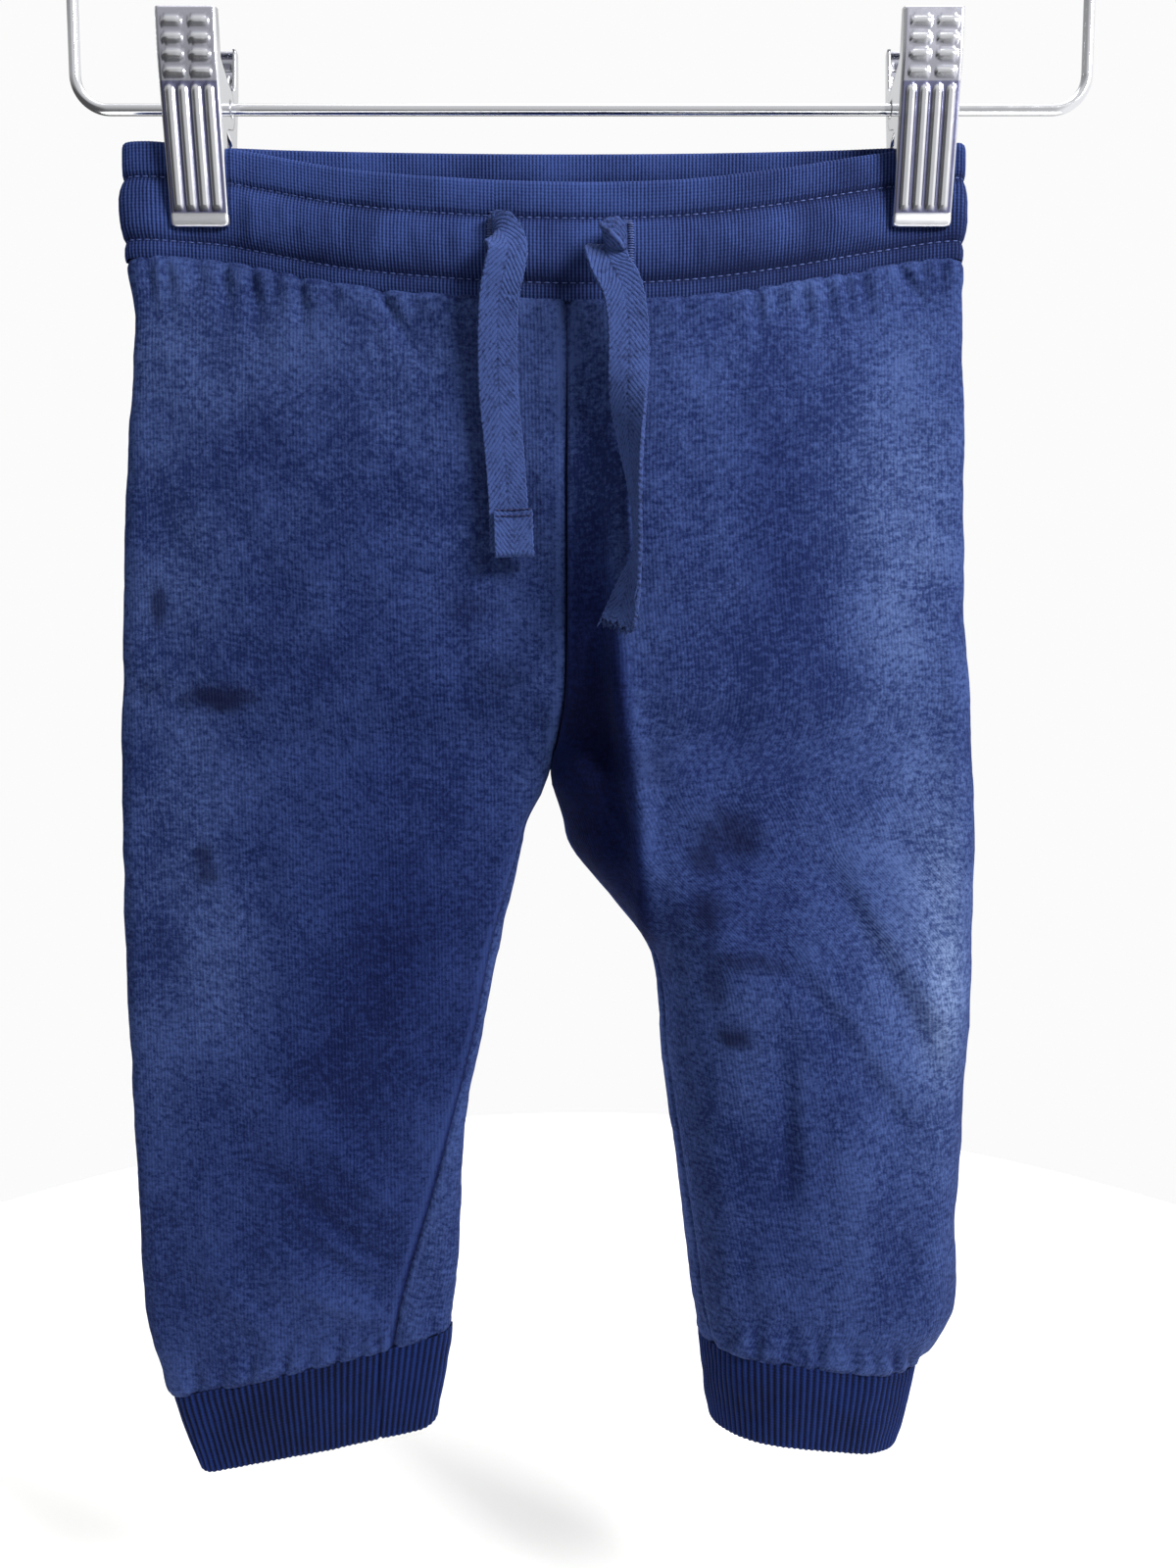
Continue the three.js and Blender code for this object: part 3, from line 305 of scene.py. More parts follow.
def twill(across, along):
    """The herringbone's ridges from 0 to 1: slanting lines that turn round at the middle of the tape."""
    ridges = 0.5 + 0.5 * np.cos(2 * np.pi * (along - TWILL_SLOPE * np.abs(across)) / TWILL_PITCH)
    return ridges * (1 - 0.5 * bell(across, 0.3))


def tape_strip(name, middle, width, face, ragged=0.0):
    """A length of tape along its middle line, a little cupped, with uneven selvedges."""
    across = np.linspace(-TAPE_WIDTH / 2, TAPE_WIDTH / 2, TAPE_COLUMNS + 1)
    along = run_along(middle[:, None], 0)
    selvedge = 1 + 0.012 * np.sin(along * 2.3) + 0.01 * np.sin(along * 5.1 + 1)
    cup = 0.35 * (2 * across / TAPE_WIDTH) ** 2 * np.sin(along * 0.09 + 0.4)
    ridges = twill(across[None], along)
    points = middle[:, None] + width[:, None] * (across[None] * selvedge)[..., None]
    points = points + face[:, None] * (cup + TWILL_HEIGHT * ridges)[..., None]
    if ragged:
        near_end = np.clip((along - along.max() + 4) / 4, 0, 1)
        bitten = 0.5 + 0.5 * np.sin(across * 2.9) + 0.3 * np.sin(across * 7)
        points[..., 2] += ragged * near_end * bitten
    outward = np.broadcast_to(face[:, None], points.shape)
    cut = np.stack(np.broadcast_arrays(across[None], along), -1)
    piece = grid_piece(name, points, outward, cut, TAPE_MATERIAL, {"twill": ridges})
    thicken(piece, TAPE_THICK, 0)
    return piece


def declare_tape(side):
    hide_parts(f"drawstring_{side}")


def folded_hem(middle, width, face):
    """The end of the right tape: it turns over to the front, and a short seam holds it."""
    length = run_along(middle[:, None], 0)[:, 0]
    start = np.searchsorted(length, length[-1] - HEM_LENGTH)
    down = unit(middle[-1] - middle[-2])
    turn = np.linspace(0, math.pi, HEM_TURN_STEPS + 1)[:, None]
    turned = middle[-1] + HEM_TURN_RADIUS * (face[-1] * (1 - np.cos(turn)) + down * np.sin(turn))
    back_up = middle[:start:-1] + face[-1] * 2 * HEM_TURN_RADIUS
    line = np.concatenate([turned, back_up[1:]])
    tangent = unit(np.gradient(line, axis=0))
    side = np.broadcast_to(width[-1], line.shape)
    return tape_strip("drawstring_right_hem", line + side * HEM_SHIFT, side, np.cross(side, tangent))


def nap(side, middle, width, face):
    """The brushed tape's hairs, along both edges and over both faces."""
    rng = np.random.default_rng(5 if side == "right" else 6)
    hairs = []
    for _ in range(NAP_HAIRS):
        row = rng.integers(2, len(middle) - 1)
        over = rng.choice([-1.0, 1.0])
        at_edge = rng.random() < HAIRS_AT_EDGES
        across = over if at_edge else rng.uniform(-0.95, 0.95)
        root = middle[row] + width[row] * across * (TAPE_WIDTH / 2 - 0.05)
        out = width[row] * over if at_edge else face[row] * over
        if not at_edge:
            root = root + face[row] * over * TAPE_THICK * 0.4
        lean = rng.normal(0, 0.55, 3)
        hairs.append((root, root + unit(out + lean) * rng.uniform(*HAIR_LENGTHS)))
    return rods(f"drawstring_{side}_nap", hairs, HAIR_RADIUS, TAPE_MATERIAL, sides=4, rings=2)


def frayed_end(middle, width):
    """The left tape's cut end: short warp ends, and one yarn that has come loose."""
    rng = np.random.default_rng(8)
    down = unit(middle[-1] - middle[-4])
    ends = []
    for across in np.linspace(-0.97, 0.97, FRAY_YARNS):
        root = middle[-1] + width[-1] * across * TAPE_WIDTH / 2 - down * 0.6
        lean = rng.normal(0, 0.28, 3)
        ends.append((root, root + unit(down + lean) * rng.uniform(*FRAY_LENGTHS)))
    ends += list(zip(LOOSE_YARN, LOOSE_YARN[1:]))
    return rods("drawstring_left_fray", ends, YARN_RADIUS, TAPE_MATERIAL)


tapes = {}
for side, route in TAPE_ROUTES.items():
    middle, width, face = tape_line(route, 4 * TAPE_LENGTHS[side])
    if face[-1][1] > 0:
        face = -face
    tape = tape_strip(f"drawstring_{side}_tape", middle, width, face, RAGGED_ENDS[side])
    tapes[side] = (tape, middle, width, face)

right_tape, right_middle, right_width, right_face = tapes["right"]
hem = folded_hem(right_middle, right_width, right_face)
right_nap = nap("right", right_middle, right_width, right_face)
declare_tape("right")
left_tape, left_middle, left_width, left_face = tapes["left"]
left_nap = nap("left", left_middle, left_width, left_face)
fray = frayed_end(left_middle, left_width)
declare_tape("left")

# Studio: a pale matt floor under the cuffs, a large soft light from the front right, as in the photograph,
# a weaker one from the front left, and two behind, so that every side is lit.
FLOOR_Z = -610
FLOOR_RADIUS = 480
FLOOR_COLOUR = "fafaf8"
LIGHTS = {
    # name: (place in metres, size in metres, watts)
    "key": ((0.62, -0.5, 0.22), 0.34, 15),
    "fill": ((-0.62, -0.6, 0.12), 0.5, 1.9),
    "top": ((0.1, 0.1, 0.9), 0.9, 5),
    "back_left": ((-0.8, 0.9, 0.15), 0.5, 18),
    "back_right": ((0.9, 0.8, -0.2), 0.8, 3),
}
ROOM_LIGHT = 0.1
ROOM_COLOUR = "fbfbfb"
# What bright metal mirrors, from straight down at 0 to straight up at 1: a dim room, a bright strip where
# the wall ends, and a ceiling that gets paler upwards.
ROOM_STOPS = [(0.56, 0.18), (0.72, 0.85), (0.721, 0.556), (1, 1)]
# Behind the viewer a bright window fills this much of the room, from the cosine where it starts.
WINDOW_COSINES = (0.84, 0.97)
WINDOW_BRIGHT = 0.6
# The room's side towards +X is lit, and the other side is dim: X where each starts and is full.
LIT_SIDE = (0.02, 0.6)
DIM_SIDE = (-0.15, -0.6)
DIM_SHARE = 0.5

material, tree = new_material("matt painted floor")
paint = add_node(tree, "BsdfPrincipled", {"Base Color": linear(FLOOR_COLOUR), "Roughness": 0.9})
add_node(tree, "OutputMaterial", {"Surface": paint})
bm = bmesh.new()
bmesh.ops.create_circle(bm, cap_ends=True, segments=128, radius=FLOOR_RADIUS * MM)
bmesh.ops.translate(bm, verts=bm.verts, vec=(0, 0, FLOOR_Z * MM))
floor_mesh = bpy.data.meshes.new("floor")
bm.to_mesh(floor_mesh)
bm.free()
floor_mesh.materials.append(material)
floor = bpy.data.objects.new("floor", floor_mesh)
bpy.context.scene.collection.objects.link(floor)

garment_middle = Vector((0, 0, -0.33))
for name, (place, size, watts) in LIGHTS.items():
    light_data = bpy.data.lights.new(name, "AREA")
    light_data.size = size
    light_data.energy = watts
    light = bpy.data.objects.new(name, light_data)
    light.location = place
    light.rotation_euler = (garment_middle - Vector(place)).to_track_quat("-Z", "Y").to_euler()
    light.visible_glossy = name in ("key", "top")
    bpy.context.scene.collection.objects.link(light)

world = bpy.data.worlds.new("studio")
bpy.context.scene.world = world
world.use_nodes = True
tree = world.node_tree
tree.nodes.clear()
rays = add_node(tree, "LightPath").outputs
direction = add_node(tree, "TexCoord").outputs["Generated"]
apart = add_node(tree, "SeparateXYZ", {0: direction}).outputs
height = add_node(tree, "MapRange", {"Value": apart["Z"], "From Min": -1})
room = add_node(tree, "ValToRGB", {0: height})
stops = room.color_ramp.elements
while len(stops) < len(ROOM_STOPS):
    stops.new(1)
for stop, (at, bright) in zip(stops, ROOM_STOPS):
    stop.position = at
    stop.color = (bright, bright, bright, 1)
window = add_node(tree, "MapRange", {
    "Value": apart["Y"], "From Min": -WINDOW_COSINES[0], "From Max": -WINDOW_COSINES[1],
    "To Max": WINDOW_BRIGHT,
}, interpolation_type="SMOOTHSTEP")
lit_side = add_node(tree, "MapRange", {"Value": apart["X"], "From Min": LIT_SIDE[0], "From Max": LIT_SIDE[1]})
dim_side = add_node(tree, "MapRange", {
    "Value": apart["X"], "From Min": DIM_SIDE[1], "From Max": DIM_SIDE[0], "To Min": DIM_SHARE,
})
for part, blend in ((window, "LIGHTEN"), (lit_side, "LIGHTEN"), (dim_side, "MULTIPLY")):
    room = add_node(tree, "Mix", {0: 1.0, 6: room, 7: part}, data_type="RGBA", blend_type=blend)
mirrored = add_node(
    tree, "Mix", {0: rays["Is Glossy Ray"], 6: [ROOM_LIGHT] * 3 + [1], 7: room}, data_type="RGBA"
)
shown = add_node(
    tree, "Mix", {0: rays["Is Camera Ray"], 6: mirrored, 7: linear(ROOM_COLOUR)}, data_type="RGBA"
)
sky = add_node(tree, "Background", {"Color": shown, "Strength": 1.0})
add_node(tree, "OutputWorld", {"Surface": sky})
bpy.context.scene.view_settings.view_transform = "Standard"

# Fronts and backs: four panels of navy cotton sweat jersey, smooth and finely waled outside, worn beside
# the seams, with painted light and shade in broad patches and painted shade in the creases. They are
# overlocked together inside, so each seam is a narrow valley, and the waistband and the cuffs draw them in,
# in small uneven gathers. The front has lost some of its bloom in darker spots.
SWEAT_WALL = 1.5
SWEAT_LIGHT = "354678"
SWEAT_MID = "14204b"
SWEAT_DARK = "060b2a"
CAD_COLUMNS = 24
FINE_COLUMNS = 132
FINE_ROWS = 170
WELD = 0.004 * MM
PANEL_EDGE = math.radians(34)
CUFF_EDGE = math.radians(66)
# Knit wales of this jersey are 0.6 mm apart, and are drawn 0.95 mm apart to show in the render.
WALE_PITCH = 0.95

FRONT_CREASES = [
    # x1, z1, x2, z2, half width, height
    # The left leg's sharp inner fold, and the deep shadowed trough between it and the centre seam.
    (4, -222, 3.5, -302, 4.5, -2.2),
    (3, -292, 8, -350, 4.6, -2.6),
    (7, -256, 12.2, -318, 3, 1.5),
    (12, -306, 19.6, -376, 3.2, 2.1),
    (68, -357, 99, -413, 3.2, -1.1),
    (73, -354, 103, -404, 3.2, 0.8),
    (55, -378, 90, -428, 3, -1.1),
    (61, -377, 86, -414, 3, 0.8),
    (55, -400, 55.5, -450, 3, -1),
    (60, -405, 62, -446, 3.5, 0.7),
    (70, -424, 78, -470, 5, 0.8),
    (84, -438, 92, -472, 4, -0.8),
    (100.5, -292, 102, -358, 3, 0.5),
    (40, -306, 42, -356, 7, -0.5),
    (30, -318, 36, -372, 6, 0.4),
    (18, -225, 22, -300, 5, 0.5),
    (52, -232, 66, -300, 9, -0.5),
    (78, -226, 84, -292, 7, 0.4),
    (44, -455, 47, -486, 3.5, -0.6),
    (-84, -423, -50, -460, 3.2, 0.8),
    (-92, -442, -57, -473, 3, -1.2),
    (-84, -453, -60, -475, 2.4, 0.8),
    (-78, -466, -54, -484, 2.4, -0.8),
    (-84, -476, -60, -489, 2.6, 0.9),
    (-112, -470, -86, -497, 4, 0.8),
    (-84, -425, -74, -440, 6, 0.4),
    (-44, -404, -31, -410, 1.6, -0.5),
    (-46, -398, -32, -402, 2, 0.4),
    (-42, -414, -33, -417, 1.6, -0.4),
    (-118, -250, -108, -330, 8, -0.4),
    (-60, -232, -70, -300, 10, 0.4),
    (-36, -250, -30, -318, 6, -0.4),
    (-90, -350, -100, -420, 9, -0.4),
    (-9, -296, -4.5, -312, 1.6, -0.5),
    (-14, -312, -6, -321, 1.6, -0.7),
    (-16, -318, -7, -326, 1.5, 0.6),
    (-13, -327, -8, -331, 1.2, -0.6),
    (0, -300, -3, -322, 2.2, -0.6),
    (5, -318, -3, -328, 1.6, 0.5),
    (14, -345, 8, -330, 1.6, -0.5),
    # The left leg's inseam, where it comes round to the front.
    (-1.4, -328.3, 11.5, -346.1, 0.8, 0.6),
]
BACK_CREASES = [
    (24, -330, 84, -352, 3.6, -0.7),
    (30, -322, 80, -342, 3.4, 0.5),
    (-28, -330, -88, -354, 3.6, -0.7),
    (-34, -338, -84, -362, 3.2, 0.5),
    (42, -420, 82, -452, 3.2, -0.6),
    (38, -432, 74, -462, 3.2, 0.5),
    (-98, -420, -58, -450, 3.2, -0.6),
    (-94, -432, -64, -456, 2.8, 0.4),
    (12, -240, 22, -320, 8, -0.5),
    (-24, -236, -30, -318, 8, -0.5),
    (60, -226, 66, -300, 10, 0.5),
    (-78, -226, -84, -300, 10, 0.5),
    (-16, -300, -9, -320, 2.2, -0.6),
    (2, -300, -5, -320, 2.2, -0.6),
    (70, -380, 90, -400, 4, -0.4),
    (-70, -382, -96, -400, 4, -0.4),
]
# The sharp edge of the left leg's inner fold: x, z.
FOLD_EDGE = [(6, -230), (7, -269.6), (10.1, -289.9), (12.3, -315.6), (15, -347.2), (19, -373.8), (22, -392)]
# Gathers along a seam: x, slant, half width, length, depth.
WAIST_GATHERS = {
    "front_right": [
        (-117, 0.02, 1.8, 16, 0.9), (-112, 0.05, 1.2, 12, 0.8), (-104, 0, 1.6, 9, 0.6),
        (-96.5, 0.04, 1.2, 11, 0.9), (-88.6, 0.1, 1.3, 14, 1), (-82, -0.05, 1.5, 9, 0.7),
        (-75.2, 0.05, 1.2, 13, 0.9), (-66, 0, 1.8, 8, 0.5), (-53, 0.55, 1.4, 12, 0.9),
        (-44, 0, 1.8, 8, 0.5), (-33, 0.1, 1.6, 7, 0.4), (-13, 0, 1.6, 6, 0.4),
    ],
    "front_left": [
        (2, 0, 1.6, 6, 0.4), (28, -0.1, 1.8, 8, 0.5), (38, 0, 1.6, 10, 0.6), (46.2, 0.1, 1.2, 12, 0.9),
        (52.5, 0, 1.5, 9, 0.6), (59.3, 0.08, 1.1, 12, 0.9), (65.8, 0.1, 1.1, 11, 1), (71, 0.15, 1.1, 10, 0.9),
        (75.5, 0.2, 1.2, 12, 0.9), (86, 0.6, 1.3, 10, 1), (92, 0.3, 1.5, 8, 0.6), (98, 0, 1.5, 9, 0.7),
    ],
}
CUFF_GATHERS = {
    "front_right": [
        (-113, 0, 1.6, 7, 0.8), (-105, 0.1, 1.4, 6, 0.7), (-97, 0.15, 1.2, 8, 0.9), (-87, 0.2, 1.3, 8, 1),
        (-79, 0, 1.6, 6, 0.7), (-71, 0.1, 1.3, 7, 0.9), (-64, 0, 1.1, 6, 0.8), (-59, -0.1, 1, 8, 0.9),
        (-55, -0.1, 1, 9, 1), (-49.6, -0.1, 1, 8, 1), (-43.8, 0, 1, 9, 1), (-39.5, 0, 1, 8, 0.8),
    ],
    "front_left": [
        (41, 0, 1.3, 8, 0.9), (48, 0.1, 1.2, 9, 1), (56.6, 0.1, 1.3, 8, 1), (61, 0, 1.1, 6, 0.7),
        (65, 0.1, 1.2, 9, 1), (74.8, 0.1, 1.3, 8, 1), (81, 0, 1.2, 7, 0.8), (87.4, -0.1, 1.2, 9, 1),
        (93, -0.2, 1.2, 8, 1), (97, 0, 1.2, 7, 0.8),
    ],
}
# Darker spots on the fronts: x, z, half width, half height, strength.
SPOTS = [
    (-116.5, -283.4, 2.2, 5.5, 0.9), (-99.7, -308.6, 8.6, 3.3, 1), (-118.6, -305.3, 4, 3, 0.5),
    (-105.3, -352.3, 3, 2.6, 0.8), (-104.6, -358, 3.2, 2.6, 0.8), (-21.4, -302.9, 6, 4, 0.4),
    (-30.1, -284.2, 6, 4, 0.35), (18.5, -326.6, 5, 5, 0.4), (39.8, -345, 8, 6.5, 0.8),
    (33.5, -350.9, 4, 4, 0.8), (34.4, -365.1, 4, 4.5, 0.8), (43.9, -378.4, 6.5, 2.4, 0.8),
    (51.7, -380.3, 4, 2, 0.6), (41.5, -399.5, 4.5, 2.6, 0.9), (36, -385, 3, 5, 0.5),
]
# Broad soft patches of lighter and darker colour: x, z, half width, half height, and the change in steps.
# On the fronts they are painted light and shade: lighter high up, on the left hip and knee where the light
# from +X falls and on the right leg's outer edge, and darker on the right knee and low on the right leg. On
# the backs they are lighter at both sides and darker in the middle and low on the legs. A lighter patch is
# also greyer, so a step counts more in red than in blue.
FADE_AND_SHADE_GAINS = (1.5, 1.3, 0.8)
# How far a painted shade darkens the left leg's inner side, in steps.
INNER_THIGH_SHADE_STEPS = 2.3
FRONT_FADE_AND_SHADE = [
    (-112, -300, 14, 110, 0.35), (-90, -215, 60, 18, 0.3), (-100, -460, 35, 45, -0.5),
    (-50, -380, 32, 60, -1.05), (-48, -470, 25, 30, -0.45), (-60, -290, 40, 36, -0.2),
    (82, -260, 16, 50, 0.7), (99, -253, 9, 26, 0.35), (92, -350, 16, 70, 0.55), (100, -390, 8, 40, 0.95),
    (104, -370, 8, 60, 0.3), (84, -385, 12, 30, 0.15), (50, -262, 8, 25, -0.3), (56, -293, 20, 36, -0.2),
    (-74, -429, 14, 20, -0.35), (-102, -384, 12, 26, 0.3), (38, -358, 14, 22, -0.4), (2, -320, 6, 36, -0.4),
    (55, -450, 14, 26, -0.4),
]
BACK_TONE_PATCHES = [
    (-104, -330, 16, 90, 0.3), (88, -330, 16, 90, 0.3), (-10, -270, 30, 40, -0.25),
    (62, -455, 18, 24, -0.3), (-84, -455, 22, 24, -0.3), (-60, -240, 40, 20, 0.2),
]
PANELS = {
    # the flat panel's width and length in millimetres, and the seed of its unevenness
    "front_right": (130, 325, 46), "back_right": (132, 332, 49),
    "front_left": (132, 318, 39), "back_left": (130, 326, 42),
}


def outer_side(node, look, sharpest):
    """The welded outer side of a CAD wall, up to its sharp edges. look is the way someone outside looks."""
    bm = bmesh.new()
    bm.from_mesh(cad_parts[node].data)
    bmesh.ops.remove_doubles(bm, verts=bm.verts, dist=WELD)
    first = min(bm.faces, key=lambda face: face.calc_center_median().dot(look))
    kept = {first}
    waiting = [first]
    while waiting:
        for edge in waiting.pop().edges:
            for face in edge.link_faces:
                if face not in kept and edge.calc_face_angle_signed(math.pi) < sharpest:
                    kept.add(face)
                    waiting.append(face)
    bmesh.ops.delete(bm, geom=[face for face in bm.faces if face not in kept], context="FACES")
    return bm


def edge_between(a, b):
    return next(edge for edge in a.link_edges if edge.other_vert(a) is b)


def row_below(row, used):
    """The next row of a grid of triangles, whose long edges run from the upper first to the lower second."""
    below = []
    for a, b in zip(row, row[1:]):
        face = next(face for face in edge_between(a, b).link_faces if face not in used)
        third = next(vert for vert in face.verts if vert not in (a, b))
        lower = next(other for other in edge_between(a, third).link_faces if other is not face)
        if not below:
            below.append(next(vert for vert in lower.verts if vert not in (a, third)))
        below.append(third)
        used.update((face, lower))
    return below


def panel_points(node, look):
    """The CAD panel's outer points in millimetres, rows from the waist down, from the side seam across."""
    bm = outer_side(node, look, PANEL_EDGE)
    corners = [vert for vert in bm.verts if len(vert.link_faces) == 1]
    row = [max(corners, key=lambda vert: vert.co.z)]
    while len(row) <= CAD_COLUMNS:
        edges = [edge for edge in row[-1].link_edges if edge.is_boundary]
        nexts = [edge.other_vert(row[-1]) for edge in edges if edge.other_vert(row[-1]) not in row]
        row.append(min(nexts, key=lambda vert: abs(vert.co.z - row[-1].co.z)))
    row.reverse()
    rows = [row]
    used = set()
    while len(rows) * (CAD_COLUMNS + 1) < len(bm.verts):
        rows.append(row_below(rows[-1], used))
    points = np.array([[vert.co[:] for vert in row] for row in rows]) / MM
    bm.free()
    return points


def evened(points):
    """The same points without the CAD's gathers, which stand on every second column."""
    smooth = points.copy()
    smooth[:, 1:-1] = (points[:, :-2] + 2 * points[:, 1:-1] + points[:, 2:]) / 4
    near_seam = np.zeros(len(points))
    near_seam[:5] = [1, 1, 0.8, 0.5, 0.2]
    near_seam[-4:] = [0.3, 0.7, 1, 1]
    share = near_seam[:, None, None]
    return points * (1 - share) + smooth * share


def crowded(count, strength):
    """Shares from 0 to 1 that lie closer together at both ends."""
    even = np.linspace(0, 1, count)
    return even - strength * np.sin(2 * np.pi * even) / (2 * np.pi)


def refined(points, rows, columns, strength=0.35):
    """A finer grid through the same points."""
    down = between(points, crowded(rows, strength) * (len(points) - 1))
    across = between(down.swapaxes(0, 1), np.linspace(0, points.shape[1] - 1, columns))
    return across.swapaxes(0, 1)


def outward_of(points, inside):
    """Unit normals of a grid, on the side away from the inside points."""
    normals = unit(np.cross(np.gradient(points, axis=0), np.gradient(points, axis=1)))
    return normals if ((points - inside) * normals).sum() > 0 else -normals


def soft_noise(points, size, seed):
    """A smooth uneven field from about -1 to 1, with swells of about the given size in millimetres."""
    rng = np.random.default_rng(seed)
    total = np.zeros(points.shape[:-1])
    for _ in range(14):
        wave = rng.normal(size=3) * math.pi / size
        total += np.sin(points @ wave + rng.uniform(0, 2 * math.pi))
    return total / 5


def within(distance, limit, blur):
    """1 below the limit and 0 above it, with a soft step."""
    return 1 / (1 + np.exp(np.clip((distance - limit) / blur, -40, 40)))


def crease_relief(points, creases, seed):
    """Soft troughs and ridges from one place to another as seen from the front, uneven along their length."""
    x, z = points[..., 0], points[..., 2]
    total = np.zeros_like(x)
    for x1, z1, x2, z2, half, height in creases:
        dx, dz = x2 - x1, z2 - z1
        long = math.hypot(dx, dz)
        share = ((x - x1) * dx + (z - z1) * dz) / long**2
        off = ((x - x1) * dz - (z - z1) * dx) / long + 0.18 * half * np.sin(share * 5 + x1)
        total += height * bell(share - 0.5, 0.5, 6) * bell(off, half)
    return total * (1 + 0.35 * soft_noise(points, 16, seed))


def gather_relief(points, from_seam, gathers):
    """Pinches that start at a seam and fade away from it, with the cloth puffed up between them."""
    total = 0.7 * (1 - np.exp(-from_seam / 1.5)) * np.exp(-from_seam / 9)
    opened = 0.25 + 0.75 * (1 - bell(from_seam, 1.8))
    for x, slant, half, length, depth in gathers:
        off = points[..., 0] - x - slant * from_seam
        pinch = bell(off, half * (1 + from_seam / length)) * bell(from_seam, length)
        total -= 2.1 * depth * pinch * opened
    return total


def scattered_gathers(x, seed):
    """Gathers for a back panel, as many and as uneven as on the fronts."""
    rng = np.random.default_rng(seed)
    places = np.linspace(x.min(), x.max(), 12) + rng.uniform(-2.5, 2.5, 12)
    return [
        (x, rng.uniform(-0.15, 0.15), rng.uniform(1.1, 1.8), rng.uniform(7, 13), rng.uniform(0.5, 1))
        for x in places
    ]


def spots_on(points):
    x, z = points[..., 0], points[..., 2]
    uneven = 0.5 * soft_noise(points, 4, 71)
    total = np.zeros_like(x)
    for x0, z0, half_width, half_height, strength in SPOTS:
        away = ((x - x0) / half_width) ** 2 + ((z - z0) / half_height) ** 2
        total = np.maximum(total, strength * within(away + uneven, 1, 1 / 2.2))
    return total


def inner_thigh_shade(points):
    """1 on the left leg's inner side, behind its fold's sharp edge, where a painted shade darkens the cloth.
    """
    x, z = points[..., 0], points[..., 2]
    edge_x = np.interp(-z, *zip(*((-fold_z, fold_x) for fold_x, fold_z in FOLD_EDGE)))
    return within(x, edge_x, 0.8) * np.interp(z, (-392, -378, -312, -255), (0, 1, 1, 0))


def fade_and_shade_on(points, tone_patches):
    """The change in colour at each point in steps: the soft patches' painted light and shade together, on a
    little uneven fading.
    """
    steps = 0.1 * soft_noise(points, 20, 73)
    for x, z, half_width, half_height, change in tone_patches:
        steps += change * bell(points[..., 0] - x, half_width) * bell(points[..., 2] - z, half_height)
    return steps


def sweat_material():
    """Navy cotton sweat jersey: matt and slightly hairy, with fine wales, worn at seams, with painted shade
    in creases and painted light and shade in patches.
    """
    material, tree = new_material("cotton sweat jersey")
    place = add_node(tree, "TexCoord").outputs["Object"]
    flat = add_node(tree, "UVMap", uv_map="cut").outputs["UV"]
    spots, wear_and_shade, fade_and_shade = (
        add_node(tree, "Attribute", attribute_name=mark).outputs["Fac"] for mark in ("spots", "wear_and_shade", "fade_and_shade")
    )
    cloud = add_node(tree, "TexNoise", {"Vector": place, "Scale": 38, "Detail": 5, "Roughness": 0.62})
    fibre = add_node(tree, "TexNoise", {"Vector": place, "Scale": 900, "Detail": 5, "Roughness": 0.7})
    across = add_node(tree, "SeparateXYZ", {0: flat}).outputs["X"]
    turns = add_node(tree, "Math", {0: across, 1: 2 * math.pi / (WALE_PITCH * MM)}, operation="MULTIPLY")
    wavy = add_node(tree, "Math", {0: fibre, 1: 3.4, 2: turns}, operation="MULTIPLY_ADD")
    wale = add_node(tree, "Math", {0: wavy}, operation="SINE")
    # Thicker lengths of yarn lie across the wales and show as short streaks, about 3 mm long.
    stretched = add_node(tree, "Mapping", {"Vector": flat, "Scale": (300, 900, 1)})
    slub = add_node(tree, "TexNoise", {"Vector": stretched, "Scale": 1, "Detail": 3})
    tone, speck, streak = (
        add_node(tree, "MapRange", {
            "Value": noise, "From Min": 0.3, "From Max": 0.7, "To Min": low, "To Max": high,
        })
        for noise, low, high in ((cloud, 0.03, 0.7), (fibre, -0.6, 0.75), (slub, -0.3, 0.3))
    )
    toned = add_node(tree, "Math", {0: wear_and_shade, 1: 0.5, 2: tone}, operation="MULTIPLY_ADD")
    waled = add_node(tree, "Math", {0: wale, 1: 0.06, 2: toned}, operation="MULTIPLY_ADD")
    specked = add_node(tree, "Math", {0: waled, 1: speck}, operation="ADD")
    share = add_node(tree, "Math", {0: specked, 1: streak}, operation="ADD")
    mottled_and_shaded = add_node(tree, "Mix", {0: share, 6: linear(SWEAT_MID), 7: linear(SWEAT_LIGHT)}, data_type="RGBA")
    colour = add_node(tree, "Mix", {0: spots, 6: mottled_and_shaded, 7: linear(SWEAT_DARK)}, data_type="RGBA")
    # The patches' painted light and shade scale each channel of the colour here.
    changes = [add_node(tree, "Math", {0: 2**gain, 1: fade_and_shade}, operation="POWER") for gain in FADE_AND_SHADE_GAINS]
    change = add_node(tree, "CombineXYZ", dict(enumerate(changes)))
    dyed_and_shaded = add_node(tree, "VectorMath", {0: colour, 1: change}, operation="MULTIPLY")
    height = add_node(tree, "Math", {0: wale, 1: 0.13, 2: fibre}, operation="MULTIPLY_ADD")
    bump = add_node(tree, "Bump", {"Height": height, "Strength": 0.8, "Distance": 0.3 * MM})
    cloth = add_node(tree, "BsdfPrincipled", {
        "Base Color": dyed_and_shaded, "Roughness": 0.92, "Specular IOR Level": 0.12, "Sheen Weight": 0.05,
        "Sheen Roughness": 0.5, "Sheen Tint": linear("7f98ee"), "Normal": bump,
    })
    add_node(tree, "OutputMaterial", {"Surface": cloth})
    return material


SWEAT_MATERIAL = sweat_material()


